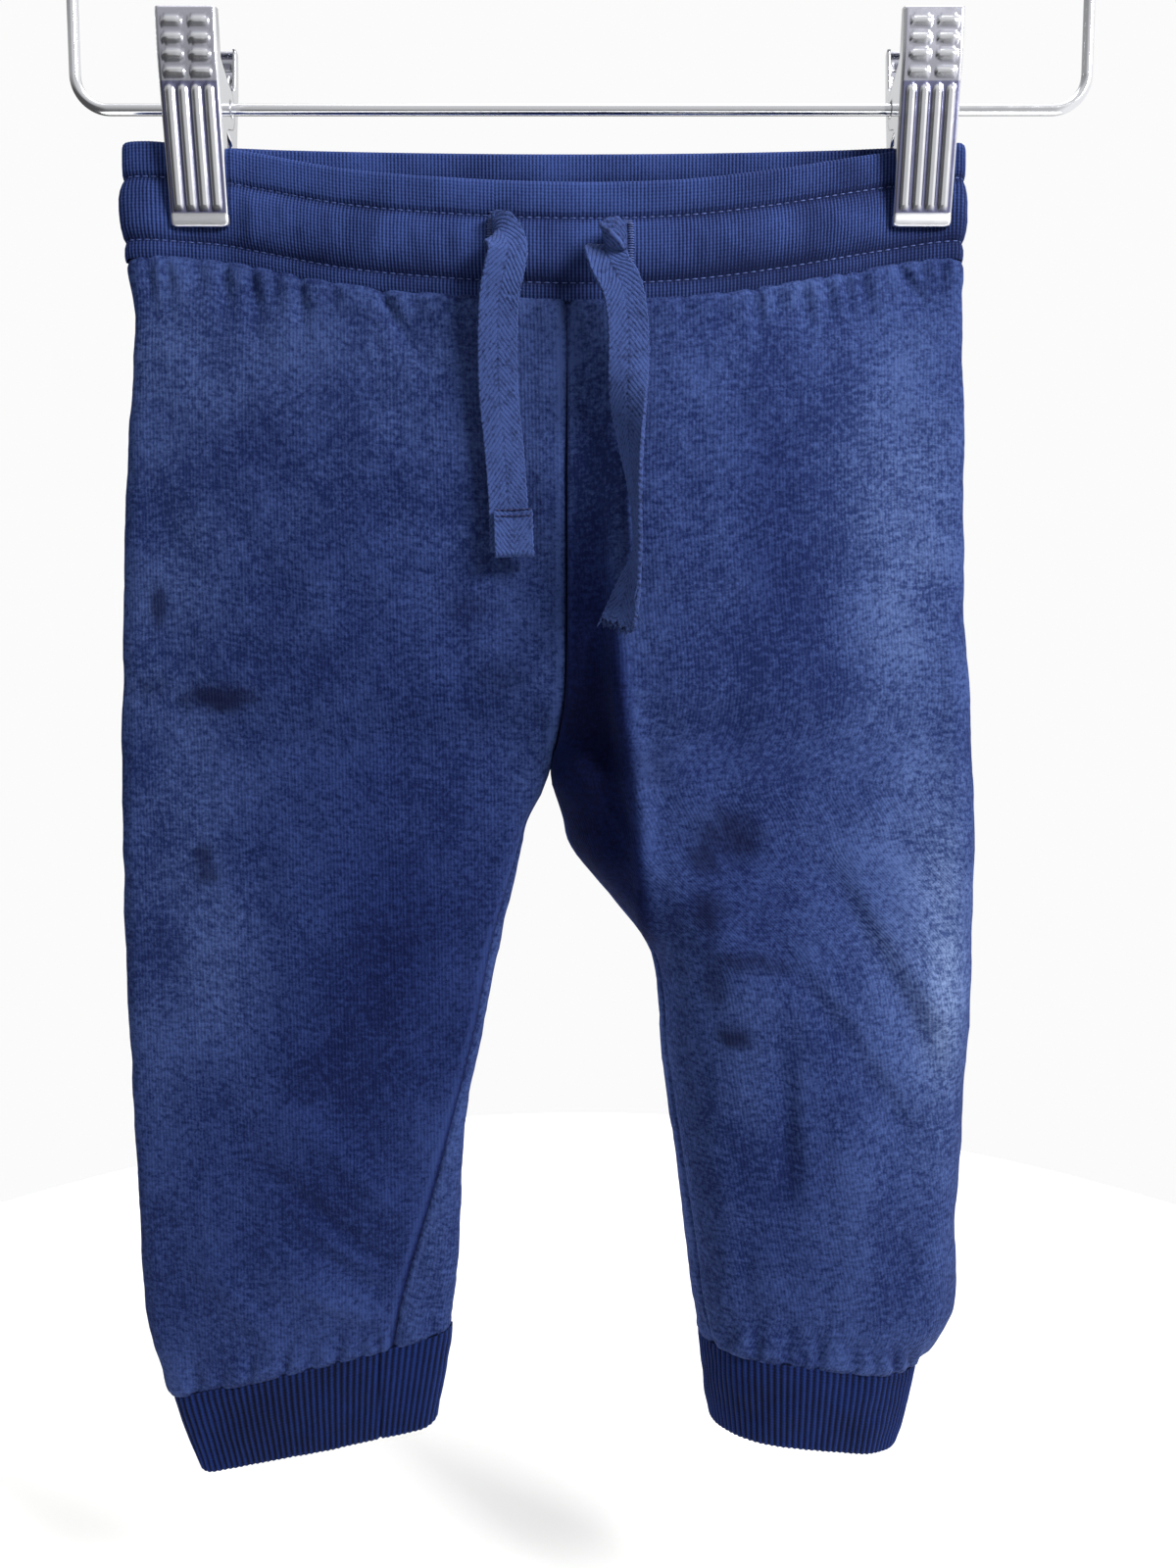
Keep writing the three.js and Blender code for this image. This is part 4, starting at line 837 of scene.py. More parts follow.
def panel(node, front, inside, seed):
    """One panel: the CAD panel's form with its seams turned in, its creases, its gathers, its wear and its
    painted light and shade.
    """
    points = refined(evened(panel_points(node, Vector((0, 1 if front else -1, 0)))), FINE_ROWS, FINE_COLUMNS)
    outward = outward_of(points, inside)
    across = run_along(points, 1)
    from_centre = across[:, -1:] - across
    from_side = np.minimum(across, from_centre)
    from_waist = run_along(points, 0)
    from_cuff = from_waist[-1:] - from_waist
    waist_gathers = WAIST_GATHERS.get(node) or scattered_gathers(points[0, :, 0], seed)
    cuff_gathers = CUFF_GATHERS.get(node) or scattered_gathers(points[-1, :, 0], seed + 1)

    relief = crease_relief(points, FRONT_CREASES if front else BACK_CREASES, seed)
    relief += gather_relief(points, from_waist, waist_gathers)
    relief += gather_relief(points, from_cuff, cuff_gathers)
    relief += 0.22 * soft_noise(points, 11, seed + 2) + 0.12 * soft_noise(points, 5, seed + 3)
    # The overlocked edges inside lift a strip beside each seam, and the seam itself sinks. At the centre
    # front both edges are pressed towards the right half.
    pressed = 0 if node == "front_left" else 0.35
    strip = 0.25 * within(across, 6.5, 0.5) + pressed * within(from_centre, 7, 0.4)
    strip += 0.45 * within(np.minimum(from_waist, from_cuff), 6, 0.8)
    relief = (relief + strip) * (1 - bell(from_side, 1.6))
    relief -= 0.5 * bell(from_side, 0.5) + 0.55 * (bell(from_waist, 0.8) + bell(from_cuff, 0.9))
    points = points + outward * relief[..., None]
    # The edges reach a little past the CAD's, under the waistband, into the cuff and to the next panel.
    points[..., 2] += np.exp(-from_waist / 1.2) - np.exp(-from_cuff / 1.2)
    reach = 0.3 * (np.exp(-from_centre / 0.8) - np.exp(-across / 0.8))
    points = points + unit(np.gradient(points, axis=1)) * reach[..., None]

    middle = points.shape[1] // 2
    cut = np.stack([across - across[:, middle:middle + 1] + points[:, middle:middle + 1, 0], -from_waist], -1)
    # Lighter beside the seams with wear. On the relief the crests are lighter with wear and the troughs
    # darker: a painted shade in the creases and gathers.
    wear_and_shade = 0.5 * bell(from_side - 1.6, 0.9) + 0.35 * np.clip(relief, -0.6, 0.9)
    # The broad patches of painted light and shade, on a little uneven fading.
    fade_and_shade = fade_and_shade_on(points, FRONT_FADE_AND_SHADE if front else BACK_TONE_PATCHES)
    # A painted shade on the left leg's inner side, behind its fold.
    if node == "front_left":
        fade_and_shade -= INNER_THIGH_SHADE_STEPS * inner_thigh_shade(points)
    if node == "front_right":
        # The pressed edges of the centre seam make a thin rubbed ridge. Below the crotch the seam's edge lies
        # in the right inseam's valley and is darkened there: a painted shade.
        wear_and_shade += 0.7 * bell(from_centre - 1.7, 1.1)
        fade_and_shade -= 1.6 * bell(from_centre, 0.9) * np.interp(points[..., 2], (-340, -325), (1, 0))
    marks = {"wear_and_shade": wear_and_shade, "spots": spots_on(points) if front else np.zeros_like(wear_and_shade), "fade_and_shade": fade_and_shade}
    piece = grid_piece(f"{node}_cloth", points, outward, cut, SWEAT_MATERIAL, marks)
    thicken(piece, SWEAT_WALL)
    return piece


for node, (width, length, seed) in PANELS.items():
    low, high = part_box(node)
    inside = np.array([low.x + high.x, 0, low.z + high.z]) / 2 / MM
    piece = panel(node, node.startswith("front"), inside, seed)
    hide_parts(node)

# Waistband and cuffs: one by one rib of the same cotton, cut across the tube and folded double.
# The waistband holds a wide elastic between two lines of stitching.
BAND_WALL = 2.6
# The rib's courses, its knitted rows, are 0.6 mm apart, and are drawn 0.85 mm apart to show.
COURSE_PITCH = 0.85
# The waistband's ribs are 0.78 mm apart, and are drawn 1 mm apart to show in the render.
BAND_RIB_PITCH = 1.0
BAND_RIB_HEIGHT = 0.16
COLUMNS_PER_BAND_RIB = 4
# Beside a clip the band swells out again over this many millimetres.
CLIP_EASE = 7
STITCH_DEPTHS = (9.3, 25.7)
# The top edge's line, from the right side over the front and over the back: x, y, z.
WAIST_FRONT = [
    (-124.5, 0, -159.6), (-122.6, -3.5, -159.6), (-116, -4.5, -159.6), (-108, -3.2, -159.7),
    (-97, -3.2, -160.6), (-86, -5.2, -163.2), (-63, -9.2, -168.6), (-36, -12.6, -172.2),
    (-3.5, -14.8, -174.3), (27, -13.8, -173.2), (54, -9.6, -168.6), (73, -5.6, -164.2),
    (82.5, -3.4, -162), (97, -3.2, -159.8), (102.6, -3.2, -159.6), (104.4, 0, -159.6),
]
WAIST_BACK = [
    (-124.5, 0, -159.6), (-122.6, 3.5, -159.5), (-116, 4.4, -159.3), (-108, 3.2, -159.2),
    (-97, 3.2, -159.2), (-80, 4.6, -159.2), (-40, 6.4, -159.2), (-3.5, 7, -159.2), (35, 6.4, -159.2),
    (70, 4.6, -159.2), (86, 3.2, -159.2), (97, 3.2, -159.2), (102.6, 3.2, -159.4), (104.4, 0, -159.6),
]
BUTTONHOLES = {
    # x, middle z, height
    "right": (-22.2, -188.4, 11.6),
    "left": (11.5, -191, 11.6),
}
SLIT_HALF = 0.8
SLIT_DEPTH = 1.6
BAND_PROFILE = [
    # below the top edge, swell
    (1.3, 0), (2.5, 0.05), (5, 0.12), (7.6, 0.05), (8.7, -0.25), (9.3, -0.55), (9.9, -0.25), (11, 0.35),
    (12.8, 0.9), (15, 1.15), (17.5, 1.25), (20, 1.15), (22.2, 0.9), (24.1, 0.35), (25.1, -0.25),
    (25.7, -0.55), (26.3, -0.2), (27.4, 0.1), (28.6, 0.15), (29.8, 0), (30.5, -0.25),
]


def rib_material(name, light, dark):
    """One by one rib: the raised wales are lighter and soft, and the furrows between them dark: partly wear
    on the wales, partly painted shade in the furrows.
    """
    material, tree = new_material(name)
    place = add_node(tree, "TexCoord").outputs["Object"]
    flat = add_node(tree, "UVMap", uv_map="cut").outputs["UV"]
    ridge, wear_and_shade = (
        add_node(tree, "Attribute", attribute_name=mark).outputs["Fac"] for mark in ("ridge", "wear_and_shade")
    )
    cloud = add_node(tree, "TexNoise", {"Vector": place, "Scale": 60, "Detail": 4})
    fibre = add_node(tree, "TexNoise", {"Vector": place, "Scale": 1500, "Detail": 4})
    down = add_node(tree, "SeparateXYZ", {0: flat}).outputs["Y"]
    turns = add_node(tree, "Math", {0: down, 1: 2 * math.pi / (COURSE_PITCH * MM)}, operation="MULTIPLY")
    course = add_node(tree, "Math", {0: turns}, operation="SINE")
    tone = add_node(tree, "MapRange", {
        "Value": cloud, "From Min": 0.3, "From Max": 0.7, "To Min": -0.45, "To Max": -0.1,
    })
    shaded = add_node(tree, "Math", {0: wear_and_shade, 1: tone}, operation="ADD")
    ridged = add_node(tree, "Math", {0: ridge, 1: 0.95, 2: shaded}, operation="MULTIPLY_ADD")
    knitted = add_node(tree, "Math", {0: course, 1: 0.08, 2: ridged}, operation="MULTIPLY_ADD")
    share = add_node(tree, "Math", {0: fibre, 1: 0.5, 2: knitted}, operation="MULTIPLY_ADD")
    colour = add_node(tree, "Mix", {0: share, 6: linear(dark), 7: linear(light)}, data_type="RGBA")
    height = add_node(tree, "Math", {0: course, 1: 0.25, 2: fibre}, operation="MULTIPLY_ADD")
    bump = add_node(tree, "Bump", {"Height": height, "Strength": 0.6, "Distance": 0.16 * MM})
    cloth = add_node(tree, "BsdfPrincipled", {
        "Base Color": colour, "Roughness": 0.9, "Specular IOR Level": 0.12, "Sheen Weight": 0.06,
        "Sheen Roughness": 0.5, "Sheen Tint": linear("7f98ee"), "Normal": bump,
    })
    add_node(tree, "OutputMaterial", {"Surface": cloth})
    return material


def rim_loops(node):
    """The upper and lower edges of a CAD tube's outer side, in millimetres, from the outermost point on."""
    bm = outer_side(node, Vector((0, 1, 0)), CUFF_EDGE)
    loops = []
    waiting = {vert for vert in bm.verts if vert.is_boundary}
    while waiting:
        loop = [waiting.pop()]
        while True:
            steps = [edge.other_vert(loop[-1]) for edge in loop[-1].link_edges if edge.is_boundary]
            step = next((vert for vert in steps if vert in waiting), None)
            if step is None:
                break
            waiting.discard(step)
            loop.append(step)
        loops.append(np.array([vert.co[:] for vert in loop]) / MM)
    bm.free()
    top = max(loops, key=lambda loop: loop[:, 2].max())
    bottom = min(loops, key=lambda loop: loop[:, 2].min())
    return top, bottom


def through(points, count):
    """A smooth curve through unevenly spaced points."""
    points = np.concatenate([2 * points[:1] - points[1:2], points, 2 * points[-1:] - points[-2:-1]])
    knots = np.concatenate([[0], np.cumsum(np.linalg.norm(np.diff(points, axis=0), axis=1) ** 0.5)])
    at = np.linspace(knots[1], knots[-2], count)
    k = np.clip(np.searchsorted(knots, at, "right") - 1, 1, len(knots) - 3)

    def mix(p, q, start, end):
        share = ((at - start) / (end - start))[:, None]
        return p * (1 - share) + q * share

    pairs = [mix(points[k + n], points[k + n + 1], knots[k + n], knots[k + n + 1]) for n in (-1, 0, 1)]
    triples = [mix(pairs[n], pairs[n + 1], knots[k + n - 1], knots[k + n + 1]) for n in (0, 1)]
    return mix(triples[0], triples[1], knots[k], knots[k + 1])


def area_of(ring):
    x, y = ring[:, 0], ring[:, 1]
    return (x * np.roll(y, -1) - np.roll(x, -1) * y).sum()


def matched(top, bottom):
    """Both rings from the least x, over the front first, with the same columns above each other."""
    rings = []
    for ring in (top, bottom):
        ring = ring if area_of(ring) > 0 else ring[::-1]
        rings.append(np.roll(ring, -int(ring[:, 0].argmin()), axis=0))
    top, bottom = rings
    best = min(range(-6, 7), key=lambda k: ((top - np.roll(bottom, k, axis=0))[:, :2] ** 2).sum())
    return top, np.roll(bottom, best, axis=0)


def smooth_ring(ring, times):
    for _ in range(times):
        ring = (np.roll(ring, 1, axis=0) + 2 * ring + np.roll(ring, -1, axis=0)) / 4
    return ring


def even_ring(ring, count):
    """The ring at evenly spaced places along its length, with its first point again at the end."""
    closed = np.concatenate([ring, ring[:1]])
    along = run_along(closed[None], 1)[0]
    wanted = np.linspace(0, along[-1], count + 1)
    places = np.interp(wanted, along, np.arange(len(closed)))
    wrapped = np.concatenate([ring[-3:], closed, ring[1:4]])
    return between(wrapped, places + 3), wanted


def ring_outward(ring):
    """The level direction out of a ring at each point."""
    open_ring = ring[:-1]
    along = np.roll(open_ring, -1, axis=0) - np.roll(open_ring, 1, axis=0)
    outward = unit(np.stack([along[:, 1], -along[:, 0], np.zeros(len(along))], -1))
    return np.concatenate([outward, outward[:1]])


def folded_edge(radius):
    """Steps round a folded edge: how far each lies past the fold's start, and how far inwards."""
    turns = [math.pi * k / 6 for k in range(1, 6)]
    return [(radius * math.sin(turn), radius * (1 - math.cos(turn))) for turn in turns]


def band_section():
    """The folded band's section, from the outer lower edge over the top to the inner lower edge.

    Each row is the depth below the top edge, the distance outwards, and the share of rib there."""
    outer = [(below, swell, 1.0) for below, swell in reversed(BAND_PROFILE)]
    fold = [(BAND_WALL / 2 - past, -inwards, 1.0) for past, inwards in folded_edge(BAND_WALL / 2)]
    inner = [
        (1.3, -BAND_WALL, 1.0), (5, -BAND_WALL, 1.0), (8.4, -BAND_WALL, 1.0), (9.3, -BAND_WALL + 0.4, 0.6),
        (10.2, -BAND_WALL, 1.0), (17.5, -BAND_WALL - 0.2, 1.0), (24.8, -BAND_WALL, 1.0),
        (25.7, -BAND_WALL + 0.4, 0.6), (26.6, -BAND_WALL, 1.0), (30.5, -BAND_WALL, 1.0),
    ]
    return np.array(outer + fold + inner)


def pressed_by_clips(x):
    """0 under a clip, where the jaws press the elastic flat, and 1 away from the clips."""
    share = np.ones_like(x)
    for side in ("right", "left"):
        low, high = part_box(f"clip_{side}_front_jaw")
        near = np.abs(x - (low.x + high.x) / 2 / MM) - (high.x - low.x) / 2 / MM
        share = np.minimum(share, np.clip(near / CLIP_EASE, 0, 1))
    return share**2 * (3 - 2 * share)


def swelling(swell, x):
    """How far the band stands out: its swells are pressed flat under the clips, and its grooves are not."""
    return np.where(swell > 0, swell * pressed_by_clips(x), swell)


front_line = through(np.array(WAIST_FRONT, float), 300)
back_line = through(np.array(WAIST_BACK, float), 300)
waist_line = np.concatenate([front_line[:-1], back_line[:0:-1]])
BAND_COLUMNS = COLUMNS_PER_BAND_RIB * round(run_along(waist_line[None], 1)[0, -1] / BAND_RIB_PITCH)
band_top, band_along = even_ring(waist_line, BAND_COLUMNS)
band_out = ring_outward(band_top)


def in_slits(points):
    """1 in the buttonholes' slits and 0 elsewhere on the band."""
    total = np.zeros(points.shape[:-1])
    for x0, z0, tall in BUTTONHOLES.values():
        in_slit = bell(points[..., 0] - x0, SLIT_HALF, 4) * bell(points[..., 2] - z0, tall / 2, 8)
        total += in_slit * (points[..., 1] < 0)
    return total


def band_points(section):
    """The band's points for rows of depth, distance outwards and share of rib."""
    base = band_top[None] - section[:, 0][:, None, None] * np.array([0, 0, 1])
    ridge = 0.5 + 0.5 * np.cos(2 * np.pi * np.arange(BAND_COLUMNS + 1) / COLUMNS_PER_BAND_RIB)
    ridge = ridge[None] * section[:, 2][:, None]
    outside = np.where(section[:, 1][:, None] > -BAND_WALL / 2, 1, -1)
    elastic = bell(section[:, 0] - 17.5, 6, 4)[:, None] * pressed_by_clips(base[..., 0])
    pucker = 0.22 * soft_noise(base, 3.2, 5) * elastic
    raised = swelling(section[:, 1][:, None], base[..., 0]) + outside * (BAND_RIB_HEIGHT * ridge + pucker)
    raised = raised - SLIT_DEPTH * in_slits(base) * (outside > 0)
    return base + band_out[None] * raised[..., None], ridge


# Wear and painted light and shade along the band's depth: lighter at the top edge and on the swelling's
# crest, partly with wear, and darker in the stitched grooves and on the swelling's lower side, a painted
# shade.
BAND_WEAR_AND_SHADE = [
    # below the top edge, change in tone
    (0, 0.14), (3, 0.06), (8, -0.02), (9.3, -0.5), (10.6, -0.04), (14, 0.1), (19, 0.03), (23.5, -0.2),
    (25.7, -0.6), (26.8, -0.16), (30.5, -0.22),
]
section = band_section()
points, ridge = band_points(section)
wear_and_shade = np.interp(section[:, 0], *zip(*BAND_WEAR_AND_SHADE))[:, None] + 0.08 * soft_noise(points, 14, 47)
# Darker towards +X, and darkened in the buttonholes' slits: a painted shade in their openings.
wear_and_shade = wear_and_shade - 0.25 * np.clip((points[..., 0] - 20) / 40, 0, 1) - in_slits(points)
outward = band_out[None] * np.where(section[:, 1] > -BAND_WALL / 2, 1, -1)[:, None, None]
cut = np.stack(np.broadcast_arrays(band_along[None], -run_along(points, 0)), -1)
band = grid_piece(
    "waistband_rib", points, np.broadcast_to(outward, points.shape), cut,
    rib_material("one by one rib, waistband", "3a4e8c", "0d1638"),
    {"ridge": ridge, "wear_and_shade": wear_and_shade}, ring=True,
)
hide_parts("waistband")

# The cuffs' rib is the waistband's, painted darker: a painted shade low on the legs, where less light falls.
CUFF_MATERIAL = rib_material("one by one rib, cuffs", "12265f", "03071d")
CUFF_RIBS = 94
CUFF_RIB_HEIGHT = 0.42
COLUMNS_PER_CUFF_RIB = 8
CUFF_OUTER_ROWS = 14
CUFF_INNER_ROWS = 8
CUFF_WALL = 2.2
CUFF_SEAM_X = -59.2


def cuff(side):
    """One cuff: a folded rib tube between the leg's edge and its own hem."""
    top, bottom = (smooth_ring(ring, 3) for ring in matched(*rim_loops(f"cuff_{side}")))
    columns = COLUMNS_PER_CUFF_RIB * CUFF_RIBS
    upper, along = even_ring(top, columns)
    lower, _ = even_ring(bottom, columns)
    outward = ring_outward(upper)
    tall = np.linalg.norm(upper - lower, axis=-1).mean()
    rows = []
    for share in np.linspace(0, 1, CUFF_OUTER_ROWS):
        rows.append((share, 0.25 * math.sin(math.pi * share) - 0.3 * math.exp(-share / 0.05), 1))
    rows += [(1 + past / tall, -inwards, 1) for past, inwards in folded_edge(CUFF_WALL / 2)]
    rows += [(share, -CUFF_WALL, -1) for share in np.linspace(1, 0, CUFF_INNER_ROWS)]
    share, out, sign = (np.array(column)[:, None] for column in zip(*rows))
    base = upper[None] + (lower - upper)[None] * share[..., None]
    ridge = 0.5 + 0.5 * np.cos(2 * np.pi * np.arange(columns + 1) / COLUMNS_PER_CUFF_RIB)
    ridge = np.broadcast_to(ridge[None], base.shape[:2])
    raised = out + sign * (CUFF_RIB_HEIGHT * (ridge - 0.5)) + 0.2 * soft_noise(base, 7, 31)
    if side == "right":
        on_front = (base[..., 1] < 0) * (sign > 0)
        raised = raised - 0.7 * on_front * bell(base[..., 0] - CUFF_SEAM_X, 0.7)
    points = base + outward[None] * raised[..., None]
    cut = np.stack(np.broadcast_arrays(along[None], -run_along(points, 0)), -1)
    facing = np.broadcast_to(outward[None] * sign[..., None], points.shape)
    piece = grid_piece(
        f"cuff_{side}_rib", points, facing, cut, CUFF_MATERIAL, {"ridge": ridge}, ring=True
    )
    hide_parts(f"cuff_{side}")


cuff("right")
cuff("left")

# Stitching on the waistband: two rows of navy cover stitch hold the elastic, and each buttonhole has a
# dense rim of short bars. The thread lies in the groove that it has pulled into the rib.
THREAD_RADIUS = 0.2
STITCH_PITCH = 2.3
STITCH_SHARE = 0.5
# A buttonhole's bars of thread: their spacing, and how near and how far from the slit they reach.
BAR_PITCH = 0.62
BAR_REACH = (0.75, 2.1)
END_BAR_HALF = 1.9
BAR_RADIUS = 0.27
# The hem's two rows of thread: below the folded end's top, and the stitches from the tape's left edge on.
HEM_ROWS = (0.5, 1.9)
HEM_STITCHES = 6
HEM_STITCH_START = -4.7
HEM_STITCH_PITCH = 1.65
HEM_STITCH_LENGTH = 1.2
HEM_THREAD_RADIUS = 0.32
HEM_THREAD_LIFT = 2.3


def thread_material(name, dark, light):
    """Polyester-cotton sewing thread: navy and smoother than the rib, so it glints, and a noise mixes in the
    light colour on some stitches, a painted glint.
    """
    material, tree = new_material(name)
    place = add_node(tree, "TexCoord").outputs["Object"]
    glint_and_ply = add_node(tree, "TexNoise", {"Vector": place, "Scale": 420, "Detail": 2})
    colour = add_node(tree, "Mix", {0: glint_and_ply, 6: linear(dark), 7: linear(light)}, data_type="RGBA")
    thread = add_node(tree, "BsdfPrincipled", {
        "Base Color": colour, "Roughness": 0.5, "Specular IOR Level": 0.3, "Sheen Weight": 0.06,
        "Sheen Tint": linear("8fa4ea"),
    })
    add_node(tree, "OutputMaterial", {"Surface": thread})
    return material


# The light colour of this thread is a painted glint on some stitches.
THREAD_MATERIAL = thread_material("twisted sewing thread", "0a1236", "5c71b4")
# A darker thread for the hem, so that its stitch lines show dark.
DARK_THREAD_MATERIAL = thread_material("twisted sewing thread, darkest", "040b2c", "101c52")


def band_surface(below, along, lift):
    """The place on the band's outer side at a depth and a length round the ring, lifted off it."""
    at = along / band_along[-1] * BAND_COLUMNS
    columns = np.arange(BAND_COLUMNS + 1)
    top, out = (
        np.stack([np.interp(at, columns, ring[:, k]) for k in range(3)], -1) for ring in (band_top, band_out)
    )
    base = top - [0, 0, below]
    swell = np.interp(below, *zip(*BAND_PROFILE))
    return base + out * (swelling(swell, base[:, 0]) + lift)[:, None], out


def cover_stitches():
    stitches = []
    count = round(band_along[-1] / STITCH_PITCH)
    starts = np.arange(count) * band_along[-1] / count
    for below in STITCH_DEPTHS:
        places, _ = band_surface(below, starts, 0.1)
        ends, _ = band_surface(below, starts + STITCH_PITCH * STITCH_SHARE, 0.1)
        stitches += zip(places, ends)
        inner_places, out = band_surface(below, starts, 0)
        inner_ends, _ = band_surface(below, starts + STITCH_PITCH * STITCH_SHARE, 0)
        inwards = -out * (BAND_WALL - 0.75)
        stitches += zip(inner_places + inwards, inner_ends + inwards)
    rods("waistband_stitches", stitches, THREAD_RADIUS, THREAD_MATERIAL)


def buttonhole(side):
    """A slit's rim: short bars of thread side by side, and longer bars across both ends."""
    x0, z0, tall = BUTTONHOLES[side]
    front = np.arange(BAND_COLUMNS + 1)[band_out[:, 1] < 0]
    nearest = front[np.argmin(np.abs(band_top[front, 0] - x0))]
    middle = band_along[nearest]
    top_z = band_top[nearest, 2]
    bars = []
    count = round(tall / BAR_PITCH)
    for k in range(count):
        below = top_z - (z0 + tall / 2 - (k + 0.5) * BAR_PITCH)
        jitter = 0.12 * math.sin(k * 2.7)
        for way in (-1, 1):
            reach = np.array([way * BAR_REACH[0], way * BAR_REACH[1] + jitter])
            bars.append(band_surface(below, middle + reach, 0.28)[0])
    for z in (z0 + tall / 2 + 0.3, z0 - tall / 2 - 0.3):
        for shift in (-0.3, 0.3):
            reach = np.array([-END_BAR_HALF, END_BAR_HALF])
            bars.append(band_surface(top_z - z - shift, middle + reach, 0.3)[0])
    rods(f"buttonhole_{side}_rim", bars, BAR_RADIUS, THREAD_MATERIAL)


def hem_stitches():
    """Two rows of dark thread that cross the right tape and hold its folded end."""
    stitches = []
    length = run_along(right_middle[:, None], 0)[:, 0]
    for below_top in HEM_ROWS:
        row = np.searchsorted(length, length[-1] - HEM_LENGTH + below_top)
        across = right_width[row]
        front = right_middle[row] + right_face[row] * HEM_THREAD_LIFT + across * HEM_SHIFT
        for k in range(HEM_STITCHES):
            start = front + across * (HEM_STITCH_START + HEM_STITCH_PITCH * k)
            stitches.append((start, start + across * HEM_STITCH_LENGTH))
    rods("drawstring_right_stitches", stitches, HEM_THREAD_RADIUS, DARK_THREAD_MATERIAL)


cover_stitches()
buttonhole("right")
buttonhole("left")
hem_stitches()

# Hanger: one steel wire, bent round into a frame, and a thicker wire for the hook. A pressed ferrule holds
# both. All are chrome plated, which is bright and smooth, and shows the room around it.
WIRE_RADIUS = 1.5
WIRE_SIDES = 24
BAR_Z = -150
UPRIGHT_X = 136.6
UPPER_BEND = 13
LOWER_BEND = 9
SHOULDER_SLOPE = math.atan2(36, UPRIGHT_X)
NECK_Z = -67.71
FERRULE_RADIUS = 4.2
FERRULE_TALL = 12.4
HOOK_WIRE_RADIUS = 1.75
HOOK_MOUTH_RADIUS = 17
HOOK_TIP = math.radians(205)
HOOK_FOOT = math.radians(-50)
HOOK_STEM = 4


def chrome_material():
    """Chrome plate: a mirror with a faint haze, more of it where the steel was brushed before plating.
    Between a clip's ridges and round its bumps its colour is darker, a painted dark reflection.
    """
    material, tree = new_material("chrome plated steel")
    place = add_node(tree, "TexCoord").outputs["Object"]
    satin, dark_reflection = (
        add_node(tree, "Attribute", attribute_name=mark).outputs["Fac"] for mark in ("satin", "dark_reflection")
    )
    film = add_node(tree, "TexNoise", {"Vector": place, "Scale": 300, "Detail": 3})
    haze = add_node(tree, "MapRange", {"Value": film, "To Min": 0.06, "To Max": 0.2})
    rough = add_node(tree, "Math", {0: satin, 1: 0.3, 2: haze}, operation="MULTIPLY_ADD")
    pits = add_node(tree, "TexNoise", {"Vector": place, "Scale": 1400, "Detail": 2})
    bump = add_node(tree, "Bump", {"Height": pits, "Strength": 0.25, "Distance": 0.02 * MM})
    colour = add_node(tree, "Mix", {0: dark_reflection, 6: linear("e9eaee"), 7: linear("7f80a0")}, data_type="RGBA")
    plate = add_node(tree, "BsdfPrincipled", {
        "Base Color": colour, "Metallic": 1.0, "Roughness": rough, "Normal": bump,
    })
    add_node(tree, "OutputMaterial", {"Surface": plate})
    return material


CHROME_MATERIAL = chrome_material()


def wire_start(bm, radius, place, along, sides=WIRE_SIDES):
    """The first ring of a wire at a place in millimetres, square to the way it runs."""
    turn = Vector(along).to_track_quat("Z", "Y").to_matrix().to_4x4()
    made = bmesh.ops.create_circle(
        bm, segments=sides, radius=radius * MM, matrix=Matrix.Translation(Vector(place) * MM) @ turn
    )
    return [edge for edge in bm.edges if edge.verts[0] in made["verts"]]


def run_wire(bm, ring, step):
    """Runs the wire straight on by a step in millimetres."""
    made = bmesh.ops.extrude_edge_only(bm, edges=ring)["geom"]
    bmesh.ops.translate(
        bm, verts=[part for part in made if isinstance(part, bmesh.types.BMVert)], vec=Vector(step) * MM
    )
    return [part for part in made if isinstance(part, bmesh.types.BMEdge) and part.is_boundary]


def bend_wire(bm, ring, centre, angle, steps, axis=(0, 1, 0), slide=(0, 0, 0)):
    """Turns the wire round a centre, and slides it along by the slide at each step."""
    made = bmesh.ops.spin(
        bm, geom=ring, cent=Vector(centre) * MM, axis=axis, angle=angle, steps=steps, dvec=Vector(slide) * MM
    )["geom_last"]
    return [part for part in made if isinstance(part, bmesh.types.BMEdge)]


def close_wire(bm, rounded):
    """Closes the wire's ends and rounds their rims."""
    rims = [edge for edge in bm.edges if edge.is_boundary]
    bmesh.ops.holes_fill(bm, edges=rims, sides=0)
    bmesh.ops.bevel(
        bm, geom=rims, offset=rounded * MM, segments=3, profile=0.5, affect="EDGES", material=-1
    )
    bmesh.ops.recalc_face_normals(bm, faces=bm.faces)


